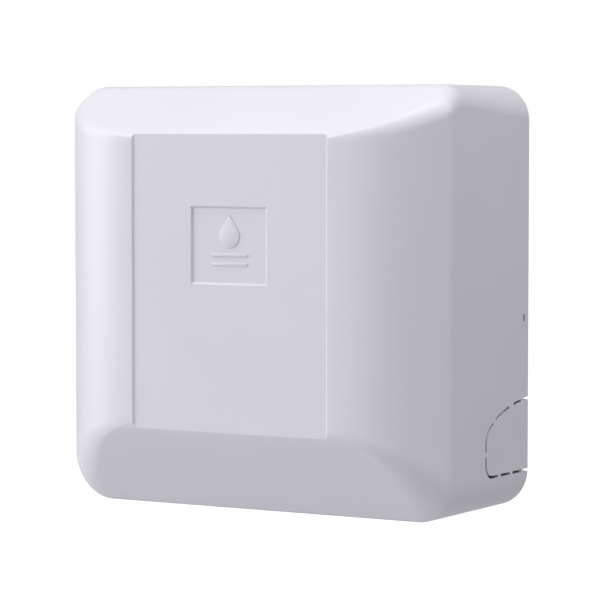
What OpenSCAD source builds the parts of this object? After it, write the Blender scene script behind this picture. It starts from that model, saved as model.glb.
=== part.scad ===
// Drain pump for a wall-mounted air conditioner.
// Frame: X to the right, Y into the wall, Z up. The origin is the middle of the face that
// meets the wall, so the whole pump lies at Y <= 0. All sizes are in millimetres.

/* [Cover] */
// Width of the cover
body_w = 190; // [184:1:200]
// Height of the cover
body_h = 185; // [182:1:195]
// Depth of the cover, from the wall to its flat front
body_d = 97; // [94:1:105]
// Wall of the cover
cover_wall = 2.5; // [2:0.1:3]
// Width of the flat front, between the two side curves
flat_w = 99; // [80:1:110]
// Depth over which each side curve falls back to the side wall
side_curve_d = 23; // [18:1:27]
// Height of the sloping top band
top_slope_h = 21; // [16:1:26]
// Depth of the sloping top band
top_slope_d = 33; // [30:1:44]
// Height of the sloping bottom band
bottom_slope_h = 37; // [30:1:40]
// Depth of the sloping bottom band
bottom_slope_d = 26.5; // [22:0.5:28]
// Radius of the two upper corners, seen from the front
corner_top_r = 15; // [12:1:18]
// Radius of the two lower corners, seen from the front
corner_bottom_r = 17; // [14:1:21]
// Depth of the recessed front panel
panel_recess = 0.8; // [0.5:0.1:1.2]
// Width of the badge recess
badge_w = 38.2; // [30:0.2:50]
// Height of the badge recess
badge_h = 33.6; // [28:0.2:45]
// Height of the badge's middle above the middle of the cover
badge_z = 24; // [10:0.5:30]
// Depth of the knock-out, from the wall
knockout_d = 41; // [36:1:44]
// Height of the knock-out
knockout_h = 33; // [28:1:34]
// Height of the knock-out's lower edge above the bottom of the cover
knockout_z = 16; // [15:0.5:18]

/* [Wall base] */
// Thickness of the base's web
base_web = 2.2; // [1.8:0.1:2.6]
// Depth of the ribs and lip behind the web
base_lip_d = 4; // [3:0.5:5]
// How far the rim reaches out from the wall
base_rim_d = 12; // [10:0.5:14]
// Distance between the wall screws, across
wall_screw_w = 156; // [146:1:158]
// Distance between the wall screws, up and down
wall_screw_h = 112; // [106:1:114]
// Radius of a wall screw's hole
wall_screw_r = 2.5; // [2.2:0.1:3]
// Side of the square pipe opening
pipe_opening = 40; // [34:1:42]

/* [Tank] */
// Width of the tank
tank_w = 126; // [124:1:130]
// Depth of the tank
tank_d = 59; // [57:1:60]
// Height of the tank
tank_h = 38; // [37:1:41]
// Wall of the tank
tank_wall = 2; // [1.6:0.1:2.4]
// Thickness of the deck on the tank
deck_t = 2.5; // [2:0.1:3]
// Outer radius of the inlet joint's tail
inlet_r = 9; // [8:0.25:9.5]
// Length of the inlet joint's tail
inlet_tail = 22; // [18:1:24]

/* [Pump] */
// Radius of the motor can
motor_r = 21; // [20:0.5:22]
// Height of the motor can
motor_h = 38; // [36:1:40]
// Radius of the shaft
shaft_r = 2; // [1.6:0.1:2.2]
// Radius of the impeller
impeller_r = 12.5; // [11:0.5:13]
// Number of impeller blades
impeller_blades = 6; // [4:1:7]
// Radius of the cooling fan
fan_r = 17; // [15:0.5:18]
// Number of fan blades
fan_blades = 8; // [6:1:9]

/* [Float switches] */
// Outer radius of a float
float_r = 10; // [9:0.25:10.5]
// Travel of the level float
level_travel = 12; // [8:0.5:12]
// Travel of the alarm float
alarm_travel = 8; // [5:0.5:9]

/* [Discharge] */
// Outer radius of the discharge hose
hose_r = 6.5; // [6:0.25:7]
// Bore radius of the discharge hose
hose_bore_r = 4.5; // [4.2:0.1:4.8]
// Radius of the hose's bend
hose_bend_r = 16; // [14:0.5:18]
// Length of the outlet joint's free tail
outlet_tail = 18; // [14:1:20]

/* [Control box] */
// Width of the control box
box_w = 104; // [100:1:106]
// Height of the control box
box_h = 62; // [60:1:64]
// Depth of the control box
box_d = 36; // [34:1:40]
// Wall of the control box
box_wall = 2; // [1.6:0.1:2.4]

/* [Hidden] */
$fn = 48;
// One overrun for every cut, and the thickness of a slice in a blended form
over = 1;
slice = 0.01;
// Running clearance, gap between parts that are fastened, and slack round a loose fit
running = 0.05;
seat_gap = 0.1;
slack = 0.3;
half_w = body_w / 2;
half_h = body_h / 2;

// Cover form
side_r = (pow(half_w - flat_w / 2, 2) + side_curve_d * side_curve_d) / (2 * side_curve_d);
corner_front_r = 3;
corner_growth_share = 0.6;
edge_soft_h = 1.6;
edge_soft_d = 0.7;
crease_soft = 1.8;
slope_bulge_share = 0.03;
ring_shares = [0, 0.015, 0.04, 0.09, 0.17, 0.28, 0.42, 0.6, 0.8, 0.94, 1.05];
slope_end_shares = [0.95, 1.05];
corner_steps = 7;
panel_margin = 0.5;
emblem_relief = 0.4;
badge_recess = 0.9;
badge_floor_d = panel_recess + badge_recess;
drop_r = 5;
drop_h = 14;
wave_w = 17;
wave_t = 1.4;
wave_pitch = 4;
slit_w = 1.3;
knockout_arch_d = 52;
knockout_arch_h = 17.5;
knockout_bottom_r = 6;
bridge_w = 3.4;
arc_steps = 6;
bottom_dash_shares = [0.35, 0.6];
bridges = [0, 1, 2, 9, 12, 14, 15];
knockout_low = -half_h + knockout_z;
latch_slot_w = 1.8;
latch_slot_h = 3.2;
latch_slot_y = -4.3;
latch_slot_z = -8.8;
rib_t = 1.6;

// Wall base
base_gap = 0.5;
rim_t = 2;
base_w = body_w - 2 * (cover_wall + base_gap);
base_h = body_h - 2 * (cover_wall + base_gap);
base_top_r = corner_top_r - cover_wall - base_gap;
base_bottom_r = corner_bottom_r - cover_wall - base_gap;
base_front_y = -(base_lip_d + base_web);
wall_boss_r = 6;
wall_screw_z = 20;
centre_pad_r = 9;
pipe_opening_x = half_w - 31;
pipe_opening_z = 40;
pipe_opening_r = 8;
base_rib_pitch = 36;

// Tank, its seat on the base and its fittings
tank_side_gap = 14;
tank_floor_gap = 3;
tank_boss_h = 2.8;
tank_left = -half_w + cover_wall + tank_side_gap;
tank_right = tank_left + tank_w;
tank_bottom = -half_h + cover_wall + tank_floor_gap;
tank_top = tank_bottom + tank_h;
tank_floor = tank_bottom + tank_wall;
tank_back = base_front_y - tank_boss_h;
tank_front = tank_back - tank_d;
tank_mid_y = (tank_front + tank_back) / 2;
tank_corner_r = 5;
ear_w = 14;
ear_h = 13;
ear_inset = 16;
screw_r = 1.5;
screw_hole_r = 1.7;
screw_head_r = 3;
screw_head_h = 2;
screw_len = 6;
boss_r = 3.6;
ear_x = [tank_left + ear_inset, tank_right - ear_inset];
ear_screw_z = tank_top + ear_h - ear_w / 2;
plug_x = tank_right - 20;
plug_r = 4;
plug_head_r = 7;
plug_head_h = 1.2;
plug_seal_h = 0.6;
plug_nut_h = 4;
plug_nut_r = 6.5;
inlet_y = -31;
inlet_drop = 3.5;
inlet_z = -half_h + knockout_z + knockout_h / 2 - inlet_drop;
inlet_wall = 1.6;
inlet_flange_w = 3;
inlet_flange_r = inlet_r + inlet_flange_w;
inlet_flange_t = 2.5;
inlet_gasket_t = 2;
inlet_nut_t = 4;
inlet_nut_w = 3.5;
inlet_nut_r = inlet_r + inlet_nut_w;

// Deck
deck_top = tank_top + deck_t;
deck_screw_inset = 5;
deck_rib_t = 1.5;
deck_rib_h = 3;
casing_flange_r = 15;
casing_flange_t = 2;
casing_screw_circle_r = 11.5;
deck_shaft_hole_r = 3;

// Pump axis and casing
pump_x = tank_left + 36;
pump_y = tank_mid_y;
foot_h = 2;
casing_wall = 2;
casing_gap = 1.8;
casing_r = impeller_r + casing_gap + casing_wall;
casing_cover_t = 2;
impeller_h = 7;
impeller_gap = 1;
casing_bottom = tank_floor + foot_h;
casing_floor = casing_bottom + casing_cover_t;
casing_roof = casing_floor + impeller_h + 2 * impeller_gap;
casing_top = casing_roof + casing_wall;
column_r = 8;
column_bore_r = 6;
casing_inlet_r = 5;
foot_r = 2;
strainer_slots = 8;
column_vent_r = 2;
pipe_r = 4.5;
pipe_bore_r = 3;
riser_reach = 31;
riser_x = pump_x + riser_reach;
riser_y = pump_y + impeller_r + casing_gap - pipe_bore_r;
riser_z = casing_floor + impeller_gap + impeller_h / 2;
riser_collar_r = 7;
riser_collar_h = 2;
riser_socket = 4;

// Motor stack, from the deck upwards
mount_h = 6;
mount_r = 5;
mount_waist_r = 3.6;
mount_circle_r = 27;
mount_lip = 1.5;
plate_r = 22;
plate_lobe_r = 6;
mount_turns = [60, 180, 300];
plate_t = 1.2;
plate_z = deck_top + mount_h;
motor_z = plate_z + plate_t;
motor_top = motor_z + motor_h;
can_t = 1.2;
cap_t = 2.3;
bearing_r = 6.5;
bearing_h = 4;
bearing_pocket_wall = 1.5;
stator_r = motor_r - can_t - seat_gap;
stator_bore_r = 12;
stator_h = 22;
stator_z = motor_z + 8;
stator_slots = 6;
coil_h = 3.5;
rotor_r = stator_bore_r - 0.6;
cap_top = motor_top + cap_t;
fan_gap = 2;
fan_h = 7;
fan_hub_r = 4;
fan_blade_t = 1;
fan_blade_from = (fan_hub_r + shaft_r) / 2;
fan_z = cap_top + fan_gap;
shaft_top = fan_z + fan_h + 2;
shaft_bottom = casing_floor + impeller_gap;
slinger_r = 7;
slinger_h = 2;
slinger_z = deck_top + 1.5;
impeller_hub_r = 3.6;
impeller_disc_t = 1.4;
blade_t = 1.2;
vent_count = 6;
vent_w = 6;
vent_l = 2.4;
terminal_lug_w = 12;
terminal_lug_h = 8;
terminal_lug_d = 5;

// Check valve on the deck
valve_r = 9;
valve_wall = 2;
valve_z = deck_top;
ball_r = 4.6;
ball_lift = 3.6;
valve_seat_h = 3;
valve_seat_r = 3.2;
valve_seal_t = 1;
ball_rest = sqrt(ball_r * ball_r - valve_seat_r * valve_seat_r);
ball_z = valve_z + riser_socket + valve_seat_h + ball_rest + running;
valve_h = riser_socket + valve_seat_h + ball_rest + ball_r + ball_lift + slack - valve_seal_t;
valve_ear_y = 12;
valve_ear_r = 3.6;
elbow_h = 14;
elbow_z = valve_z + valve_h + valve_seal_t;
hose_z = elbow_z + elbow_h / 2;
elbow_tail = 14;
tail_r = hose_bore_r - running;
tail_bore_r = 3;
hose_start_x = riser_x + valve_r + slack;
clip_w = 5;
clip_t = 0.8;
clip_ear = 5;
hose_up_x = half_w - 25;
hose_bend_x = hose_up_x - hose_bend_r;
hose_top_z = hose_z + hose_bend_r + 12;
outlet_flange_r = 9;
outlet_flange_t = 2;
outlet_z = hose_top_z + slack;
outlet_r = 6;
outlet_neck_r = outlet_r + over;
outlet_bore_r = 4;
bracket_ring_t = 3;
bracket_h = 8;
bracket_arm_t = 4;
bracket_foot_w = 40;
bracket_foot_t = 3;
bracket_z = outlet_z + outlet_flange_t + slack;
bracket_back = base_front_y - over;
bracket_screw_x = bracket_foot_w / 2 - 5 * over;
bracket_screw_z = bracket_z + bracket_h / 2;

// Float switches
stem_r = 3;
float_reach = 47;
float_pitch = 24;
level_x = pump_x + float_reach;
alarm_x = level_x + float_pitch;
float_y = tank_mid_y - 6;
float_bore_r = stem_r + slack;
level_float_h = 12;
alarm_float_h = 10;
stem_collar_r = 5;
stem_collar_h = 2;
stem_nut_r = 8;
stem_nut_h = 5;
stem_head_r = 5;
stem_head_h = 9;
clip_r = 5;
clip_h = 1;
level_stem_bottom = tank_floor + 3;
level_float_z = level_stem_bottom + clip_h + seat_gap;
level_collar_z = level_float_z + level_float_h + level_travel + seat_gap;
alarm_float_z = tank_top - stem_collar_h - seat_gap - alarm_travel - alarm_float_h;
alarm_stem_bottom = alarm_float_z - seat_gap - clip_h;

// Control box
box_left = tank_left + 8;
box_bottom = shaft_top + 6;
box_boss_h = 3;
box_back = base_front_y - box_boss_h;
box_front = box_back - box_d;
box_corner_r = 3;
box_screw_inset = 7;
box_right = box_left + box_w;
box_top = box_bottom + box_h;
box_screw_z = [box_bottom + box_screw_inset, box_top - box_screw_inset];
lid_t = 1.6;
lid_post_r = 3.4;
board_w = 60;
board_h = 50;
board_t = 1.6;
board_gap = 1;
board_left = box_left + box_wall + 2 * lid_post_r + board_gap;
board_bottom = box_bottom + (box_h - board_h) / 2;
board_post_h = 6;
board_back = box_back - box_wall - board_post_h;
board_front = board_back - board_t;
board_screw_inset = 4;
board_post_r = 2.8;
button_x = board_left + board_w - 11;
button_z = board_bottom + 12;
button_r = 2.4;
button_base = 7;
button_base_h = 4;
button_travel = 0.8;
led_r = 1.5;
led_x = button_x;
led_z = button_z + 9;
led_h = box_d - box_wall - board_post_h - board_t - lid_t - 2;
block_w = 20;
block_h = 38;
block_d = 15;
block_side = 4;
block_x = box_right - box_wall - block_w - block_side;
block_z = box_top - box_wall - 2 * lid_post_r - board_gap - block_h;
poles = 4;
block_pole = block_h / poles;
grommet_r = 5;
grommet_bore_r = 2.2;
grommet_lip = 1.4;
grommet_pitch = 11;
grommet_first_x = box_right - 37;
lead_grommets_x = [for (k = [0 : 2]) grommet_first_x + k * grommet_pitch];
grommet_y = box_back - box_d / 2;
supply_grommet_z = box_bottom + box_h - 15;
lead_r = 1.6;
float_lead_r = 1.2;
clamp_w = 28;
clamp_h = 8;
clamp_t = 2.4;
clamp_gap = 17;
clamp_x = box_right + clamp_gap;
clamp_z = supply_grommet_z;
clamp_arch_r = 4.5;
clamp_boss_r = 3.6;
clamp_screw_x = clamp_w / 2 - clamp_boss_r;
deck_screw_x = [tank_left + deck_screw_inset, tank_right - deck_screw_inset];
deck_screw_y = [tank_front + deck_screw_inset, tank_back - deck_screw_inset];
casing_turns = [0, 120, 240];
winding_r = 2.4;
terminal_turn = 45;
valve_ear_h = 5;
elbow_flange_t = 2;
elbow_r = 7;
box_screw_x = [board_left + 1.8 * box_screw_inset, block_x - box_screw_inset / 2];
post_x = [box_left + lid_post_r + box_wall / 2, box_right - lid_post_r - box_wall / 2];
post_z = [box_bottom + lid_post_r + box_wall / 2, box_top - lid_post_r - box_wall / 2];
board_screw_x = [board_left + board_screw_inset, board_left + board_w - board_screw_inset];
board_screw_z = [board_bottom + board_screw_inset, board_bottom + board_h - board_screw_inset];
transformer_share = [0.13, 0.42];
transformer_w = 26;
transformer_h = 22;
transformer_d = 20;
bobbin_w = 18;
bobbin_h = 26;
relay_share = [0.6, 0.54];
relay_w = 19;
relay_h = 15;
relay_d = 15;
capacitor_shares = [[0.2, 0.22], [0.36, 0.22]];
capacitor_r = 4;
capacitor_h = 13;
chip_share = [0.46, 0.22];
chip_w = 9;
chip_h = 6;
chip_d = 3;
connector_shares = [0.44, 0.58, 0.72];
connector_w = 7;
connector_h = 5;
connector_d = 8;
connector_z_share = 0.06;
led_stand_h = 20;
terminal_r = 2.6;
motor_route = [[-23.9, -57.1, -20.3], [-21.8, -59.2, -19.5], [-17, -60, -12], [-9, -52, 0], [-4, -36, 8],
               [-3.5, -27.2, 12.5], [-3.5, -27.2, 16.5], [-3.5, -27.2, 21.5], [-3.5, -27.8, 25],
               [-8, -33, 30], [-13, -34.5, 30], [-14, -32, 29.5], [-14, -26.9, 29.5]];
level_route = [[4.5, -44.5, -32.2], [4.5, -44.5, -28], [4.5, -46, -20], [6.5, -45, -6], [7.5, -34, 7],
               [7.5, -27.2, 12.5], [7.5, -27.2, 16.5], [7.5, -27.2, 21.5], [6.5, -28, 25],
               [0, -34, 27], [-12, -39, 30.5], [-21, -38, 30.5], [-22.4, -33, 29.5],
               [-22.4, -26.9, 29.5]];
alarm_route = [[28.5, -44.5, -32.2], [28.5, -44.5, -28], [28.5, -46, -20], [27, -44, -6], [20, -34, 7],
               [18.5, -27.2, 12.5], [18.5, -27.2, 16.5], [18.5, -27.2, 21.5], [17, -29.5, 24],
               [8, -36, 23.5], [-8, -38, 23], [-22, -38, 24], [-30.5, -36, 28],
               [-30.8, -32, 29.5], [-30.8, -26.9, 29.5]];

// Smooth lower of two values, and the shape of the cover at a depth t behind its front
function smin(a, b, k) = let (h = max(k - abs(a - b), 0) / k) min(a, b) - h * h * k / 4;
function arc_w(t, r) = flat_w / 2 + sqrt(max(0, r * r - pow(side_r - min(t, side_r), 2)));
function slope(t, h, d) = let (u = t / d)
    h * (u + 4 * slope_bulge_share * u * (1 - u)) - edge_soft_h * exp(-t / edge_soft_d);
function band(t, h, d, wall) =
    smin(h - wall, slope(t, h, d) - wall * sqrt(1 + pow(h / d, 2)), crease_soft);
function ring_w(t, wall) = smin(half_w - wall, arc_w(t, side_r - wall), crease_soft);
function ring_top(t, wall) = half_h - top_slope_h + band(t, top_slope_h, top_slope_d, wall);
function ring_bottom(t, wall) =
    -half_h + bottom_slope_h - band(t, bottom_slope_h, bottom_slope_d, wall);
function corner_r(full, u, wall) = max(over, corner_front_r + (full - corner_front_r) * u - wall);
ring_depths = concat([for (s = ring_shares) s * side_curve_d], [bottom_slope_d],
    [for (s = slope_end_shares) s * top_slope_d], [body_d]);

// Closed solid through a list of rings, which all have the same number of points
module skin(rings) {
    n = len(rings[0]);
    last = len(rings) - 1;
    walls = [for (i = [0 : last - 1], k = [0 : n - 1])
        let (m = (k + 1) % n, q = i * n)
        each [[q + k, q + m, q + n + m], [q + k, q + n + m, q + n + k]]];
    ends = [[for (k = [n - 1 : -1 : 0]) k], [for (k = [0 : n - 1]) last * n + k]];
    polyhedron([for (r = rings) each r], concat(walls, ends));
}

// Outline of the cover at a depth t, drawn in from the outer face by wall
function cover_ring(t, wall, y) =
    let (rt = corner_r(corner_top_r, pow(t / body_d, corner_growth_share), wall),
         rb = corner_r(corner_bottom_r, min(1, t / bottom_slope_d), wall),
         w = ring_w(t, wall), high = ring_top(t, wall) - rt, low = ring_bottom(t, wall) + rb)
    [for (c = [[w - rt, high, rt], [rt - w, high, rt], [rb - w, low, rb], [w - rb, low, rb]],
          k = [0 : corner_steps])
        let (quarter = c[1] == high ? (c[0] > 0 ? 0 : 1) : (c[0] > 0 ? 3 : 2),
             a = 90 * (quarter + k / corner_steps))
        [c[0] + c[2] * cos(a), y, c[1] + c[2] * sin(a)]];

module cover_form(wall, rear) {
    depths = [for (t = ring_depths) if (t > wall && t < body_d) t];
    skin(concat([cover_ring(wall, wall, wall - body_d)],
                [for (t = depths) cover_ring(t, wall, t - body_d)],
                [cover_ring(body_d, wall, rear)]));
}

// Flat outline with its own radius at the top and bottom corners
module round_outline(w, h, rt, rb) {
    union() {
        translate([-w / 2, -h / 2 + rb]) square([w, h - rt - rb]);
        translate([-w / 2 + rt, h / 2 - rt]) square([w - 2 * rt, rt]);
        translate([-w / 2 + rb, -h / 2]) square([w - 2 * rb, rb]);
        for (side = [-1, 1]) {
            translate([side * (w / 2 - rt), h / 2 - rt]) circle(rt);
            translate([side * (w / 2 - rb), -h / 2 + rb]) circle(rb);
        }
    }
}

// Puts a flat drawing, whose axes are X and Z, on a plane that faces the room at depth y
module facing(y, t) {
    translate([0, y + t, 0]) rotate([90, 0, 0]) linear_extrude(t) children();
}

// Puts a flat drawing, whose axes are Y and Z, on a plane that faces right at x
module sideways(x, t) {
    translate([x, 0, 0]) rotate([90, 0, 90]) linear_extrude(t) children();
}

module tube(r, bore, h) {
    difference() {
        cylinder(h = h, r = r);
        translate([0, 0, -over]) cylinder(h = h + 2 * over, r = bore);
    }
}

// Pan-head screw with a cross recess, whose head points along +Z from the origin
module screw(r, head_r, head_h, length) {
    difference() {
        union() {
            cylinder(h = head_h, r = head_r);
            translate([0, 0, -length]) cylinder(h = length + head_h / 2, r = r);
        }
        for (turn = [0, 90])
            rotate(turn)
                translate([-head_r / 2, -head_r / 8, head_h / 2])
                    cube([head_r, head_r / 4, head_h]);
    }
}

module screw_to_wall(x, y, z, length = screw_len) {
    translate([x, y, z]) rotate([90, 0, 0]) screw(screw_r, screw_head_r, screw_head_h, length);
}

module screw_down(x, y, z, length = screw_len) {
    translate([x, y, z]) screw(screw_r, screw_head_r, screw_head_h, length);
}

// Round tube along a smooth curve through the points
function curve_point(p, i, u) =
    let (n = len(p) - 1, a = p[max(0, i - 1)], b = p[i], c = p[min(n, i + 1)], d = p[min(n, i + 2)])
    (2 * b + (c - a) * u + (2 * a - 5 * b + 4 * c - d) * u * u
        + (3 * b - a - 3 * c + d) * u * u * u) / 2;
function curve(p, steps) = concat(
    [for (i = [0 : len(p) - 2], s = [0 : steps - 1]) curve_point(p, i, s / steps)], [p[len(p) - 1]]);
function unit(v) = v / norm(v);
module lead(points, r, steps = 4, sides = 8) {
    path = curve(points, steps);
    n = len(path);
    reference = [1, 2, 0];
    rings = [for (i = [0 : n - 1])
        let (t = unit(path[min(n - 1, i + 1)] - path[max(0, i - 1)]),
             a = unit(cross(t, reference)), b = cross(t, a))
        [for (k = [0 : sides - 1])
            path[i] + r * (cos(360 * k / sides) * a - sin(360 * k / sides) * b)]];
    skin(rings);
}

// Cover
function knockout_arc(y, z, across, up, from, to) =
    [for (k = [0 : arc_steps]) let (a = from + (to - from) * k / arc_steps)
        [y + across * cos(a), z + up * sin(a)]];
function knockout_line() =
    let (front = -knockout_d + slit_w / 2, low = knockout_low + slit_w / 2, rb = knockout_bottom_r,
         high = knockout_low + knockout_h - slit_w / 2, middle = front + knockout_arch_d,
         rear = acos(-middle / knockout_arch_d))
    concat([[over, low]], [for (s = bottom_dash_shares) [(front + rb) * s, low]],
           knockout_arc(front + rb, low + rb, rb, rb, 270, 180),
           knockout_arc(middle, high - knockout_arch_h * sin(rear), knockout_arch_d, knockout_arch_h,
                        180, rear),
           [[over, high]]);

// Slit round the knock-out, in dashes with round ends that leave bridges to break
module knockout_slit() {
    line = knockout_line();
    for (i = [0 : len(line) - 2]) {
        a = line[i];
        b = line[i + 1];
        at_bridge = len([for (k = bridges) if (k == i) k]) > 0;
        reach = at_bridge ? bridge_w / norm(b - a) : 0;
        for (part = at_bridge ? [[0, 0.5 - reach / 2], [0.5 + reach / 2, 1]] : [[0, 1]])
            hull() {
                translate(a + (b - a) * part[0]) circle(slit_w / 2, $fn = 16);
                translate(a + (b - a) * part[1]) circle(slit_w / 2, $fn = 16);
            }
    }
}

module panel_cut() {
    side = flat_w / 2 - panel_margin;
    front = side + over;
    translate([0, 0, -half_h]) linear_extrude(body_h)
        polygon([[-front, -body_d - over], [front, -body_d - over],
                 [side - panel_recess, -body_d + panel_recess],
                 [-side + panel_recess, -body_d + panel_recess]]);
}

// Recess for a badge, whose sides slope out at 45 degrees past the front of the cover
module badge_cut() {
    reach = panel_recess + over;
    translate([0, 0, badge_z]) hull() {
        facing(-body_d + badge_floor_d - slice, slice)
            square([badge_w - 2 * badge_recess, badge_h - 2 * badge_recess], center = true);
        facing(-body_d - over, slice) square([badge_w + 2 * reach, badge_h + 2 * reach], center = true);
    }
}

module emblem() {
    tip = drop_h - drop_r;
    tangent = acos(drop_r / tip);
    translate([0, 0, badge_z + wave_pitch]) facing(-body_d + badge_floor_d - emblem_relief, emblem_relief) {
        circle(drop_r);
        polygon([[0, tip], [drop_r * sin(tangent), drop_r * cos(tangent)],
                 [-drop_r * sin(tangent), drop_r * cos(tangent)]]);
        for (k = [2, 3])
            translate([0, -wave_pitch * k]) {
                square([wave_w, wave_t], center = true);
                for (side = [-1, 1]) translate([side * wave_w / 2, 0]) circle(wave_t / 2);
            }
    }
}

module front_cover() {
    color("whitesmoke") {
        difference() {
            cover_form(0, 0);
            cover_form(cover_wall, over);
            panel_cut();
            badge_cut();
            for (side = [-1, 1]) {
                sideways(side * (half_w - cover_wall / 2) - cover_wall, 2 * cover_wall)
                    knockout_slit();
                sideways(side * (half_w - cover_wall / 2) - cover_wall, 2 * cover_wall)
                    translate([latch_slot_y, latch_slot_z])
                        square([latch_slot_w, latch_slot_h], center = true);
            }
        }
        emblem();
    }
}

// Wall base
module base_ribs() {
    for (k = [-2 : 2]) {
        translate([k * base_rib_pitch - rib_t / 2, -base_h / 2 + rim_t / 2])
            square([rib_t, base_h - rim_t]);
        translate([-base_w / 2 + rim_t / 2, k * base_rib_pitch - rib_t / 2])
            square([base_w - rim_t, rib_t]);
    }
}

module pipe_outline(grow) {
    side = pipe_opening + 2 * grow;
    r = pipe_opening_r + grow;
    translate([pipe_opening_x, pipe_opening_z]) round_outline(side, side, r, r);
}

module wall_screw_places() {
    for (side = [-1, 1], end = [-1, 1])
        translate([side * wall_screw_w / 2, wall_screw_z + end * wall_screw_h / 2]) children();
}

module base_boss(x, z, top_y, r = boss_r) {
    facing(top_y, base_front_y + over - top_y)
        translate([x, z]) difference() {
            circle(r);
            circle(screw_r);
        }
}

module wall_base() {
    notch_low = knockout_low - over;
    color("gainsboro") difference() {
        union() {
            difference() {
                facing(-base_rim_d, base_rim_d)
                    round_outline(base_w, base_h, base_top_r, base_bottom_r);
                facing(-base_rim_d - over, base_rim_d + 2 * over)
                    round_outline(base_w - 2 * rim_t, base_h - 2 * rim_t,
                                  base_top_r - rim_t, base_bottom_r - rim_t);
            }
            facing(base_front_y, base_web)
                round_outline(base_w - rim_t, base_h - rim_t, base_top_r, base_bottom_r);
            difference() {
                facing(-base_lip_d - base_web / 2, base_lip_d + base_web / 2) intersection() {
                    round_outline(base_w - rim_t, base_h - rim_t, base_top_r, base_bottom_r);
                    union() {
                        base_ribs();
                        wall_screw_places() circle(wall_boss_r);
                        circle(centre_pad_r);
                        pipe_outline(rib_t);
                    }
                }
            }
            for (x = ear_x) base_boss(x, ear_screw_z, tank_back + seat_gap);
            for (x = box_screw_x, z = box_screw_z) base_boss(x, z, box_back + seat_gap);
            for (side = [-1, 1])
                base_boss(hose_up_x + side * bracket_screw_x, bracket_screw_z, base_front_y - over);
            for (side = [-1, 1])
                base_boss(clamp_x + side * clamp_screw_x, clamp_z, base_front_y - box_boss_h);
        }
        facing(base_front_y - over, base_web + base_lip_d + 2 * over) pipe_outline(0);
        facing(base_front_y - over, base_web + base_lip_d + 2 * over)
            wall_screw_places() circle(wall_screw_r);
        for (side = [-1, 1])
            translate([side * base_w / 2 - 2 * rim_t, -base_rim_d - over, notch_low])
                cube([4 * rim_t, base_rim_d - base_lip_d - base_web + over, knockout_h + 2 * over]);
    }
}

// Tank and what is fitted to its walls
module tank_outline(grow) {
    translate([(tank_left + tank_right) / 2, tank_mid_y])
        round_outline(tank_w + 2 * grow, tank_d + 2 * grow, tank_corner_r + grow, tank_corner_r + grow);
}

module tank() {
    color("aliceblue", 0.8) difference() {
        union() {
            translate([0, 0, tank_bottom]) linear_extrude(tank_h) tank_outline(0);
            for (x = ear_x)
                facing(tank_back - tank_wall, tank_wall)
                    translate([x - ear_w / 2, tank_top - ear_h]) square([ear_w, 2 * ear_h]);
        }
        difference() {
            translate([0, 0, tank_floor]) linear_extrude(tank_h) tank_outline(-tank_wall);
            translate([0, 0, tank_bottom]) linear_extrude(tank_h) deck_screw_places() circle(boss_r);
        }
        for (x = ear_x)
            facing(tank_back - tank_wall - over, tank_wall + 2 * over)
                translate([x, ear_screw_z]) circle(screw_hole_r);
        translate([plug_x, tank_mid_y, tank_bottom - over])
            cylinder(h = 2 * tank_wall + over, r = plug_r + slack);
        sideways(tank_right - tank_wall - over, tank_wall + 2 * over)
            translate([inlet_y, inlet_z]) circle(inlet_r + slack);
        for (x = deck_screw_x, y = deck_screw_y)
            translate([x, y, tank_top - screw_len]) cylinder(h = screw_len + over, r = screw_r);
    }
}

module tank_screws() {
    color("silver") for (x = ear_x)
        screw_to_wall(x, tank_back - tank_wall - seat_gap, ear_screw_z, tank_wall + seat_gap + tank_boss_h);
}

module drain_plug() {
    color("dimgray") {
        translate([plug_x, tank_mid_y, tank_bottom - plug_seal_h - plug_head_h]) {
            cylinder(h = plug_head_h, r = plug_head_r);
            cylinder(h = plug_head_h + plug_seal_h + tank_wall + plug_nut_h, r = plug_r);
        }
        translate([plug_x, tank_mid_y, tank_floor + seat_gap])
            cylinder(h = plug_nut_h, r = plug_nut_r, $fn = 6);
    }
}

module drain_plug_seal() {
    color("black") translate([plug_x, tank_mid_y, tank_bottom - plug_seal_h])
        tube(plug_head_r - over / 2, plug_r + running, plug_seal_h);
}

module inlet_joint() {
    wall_x = tank_right + inlet_gasket_t;
    color("ivory") translate([wall_x, inlet_y, inlet_z]) rotate([0, 90, 0]) difference() {
        union() {
            cylinder(h = inlet_flange_t, r = inlet_flange_r);
            translate([0, 0, inlet_flange_t]) cylinder(h = inlet_tail, r = inlet_r);
            translate([0, 0, -tank_wall - inlet_gasket_t - inlet_nut_t - over])
                cylinder(h = tank_wall + inlet_gasket_t + inlet_nut_t + 2 * over, r = inlet_r);
        }
        translate([0, 0, -tank_wall - inlet_gasket_t - inlet_nut_t - 2 * over])
            cylinder(h = tank_wall + inlet_gasket_t + inlet_nut_t + inlet_flange_t + inlet_tail + 3 * over,
                     r = inlet_r - inlet_wall);
    }
}

module inlet_gasket() {
    color("black") translate([tank_right, inlet_y, inlet_z]) rotate([0, 90, 0])
        tube(inlet_flange_r - over, inlet_r + running, inlet_gasket_t);
}

module inlet_nut() {
    color("ivory") translate([tank_right - tank_wall - inlet_nut_t, inlet_y, inlet_z]) rotate([0, 90, 0])
        difference() {
            rotate(30) cylinder(h = inlet_nut_t, r = inlet_nut_r, $fn = 6);
            translate([0, 0, -over]) cylinder(h = inlet_nut_t + 2 * over, r = inlet_r + running);
        }
}

// Deck

module deck_screw_places() {
    for (x = deck_screw_x, y = deck_screw_y)
        translate([x, y]) children();
}

module around(x, y, r, turns) {
    for (a = turns)
        translate([x + r * cos(a), y + r * sin(a)]) children();
}

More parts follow.
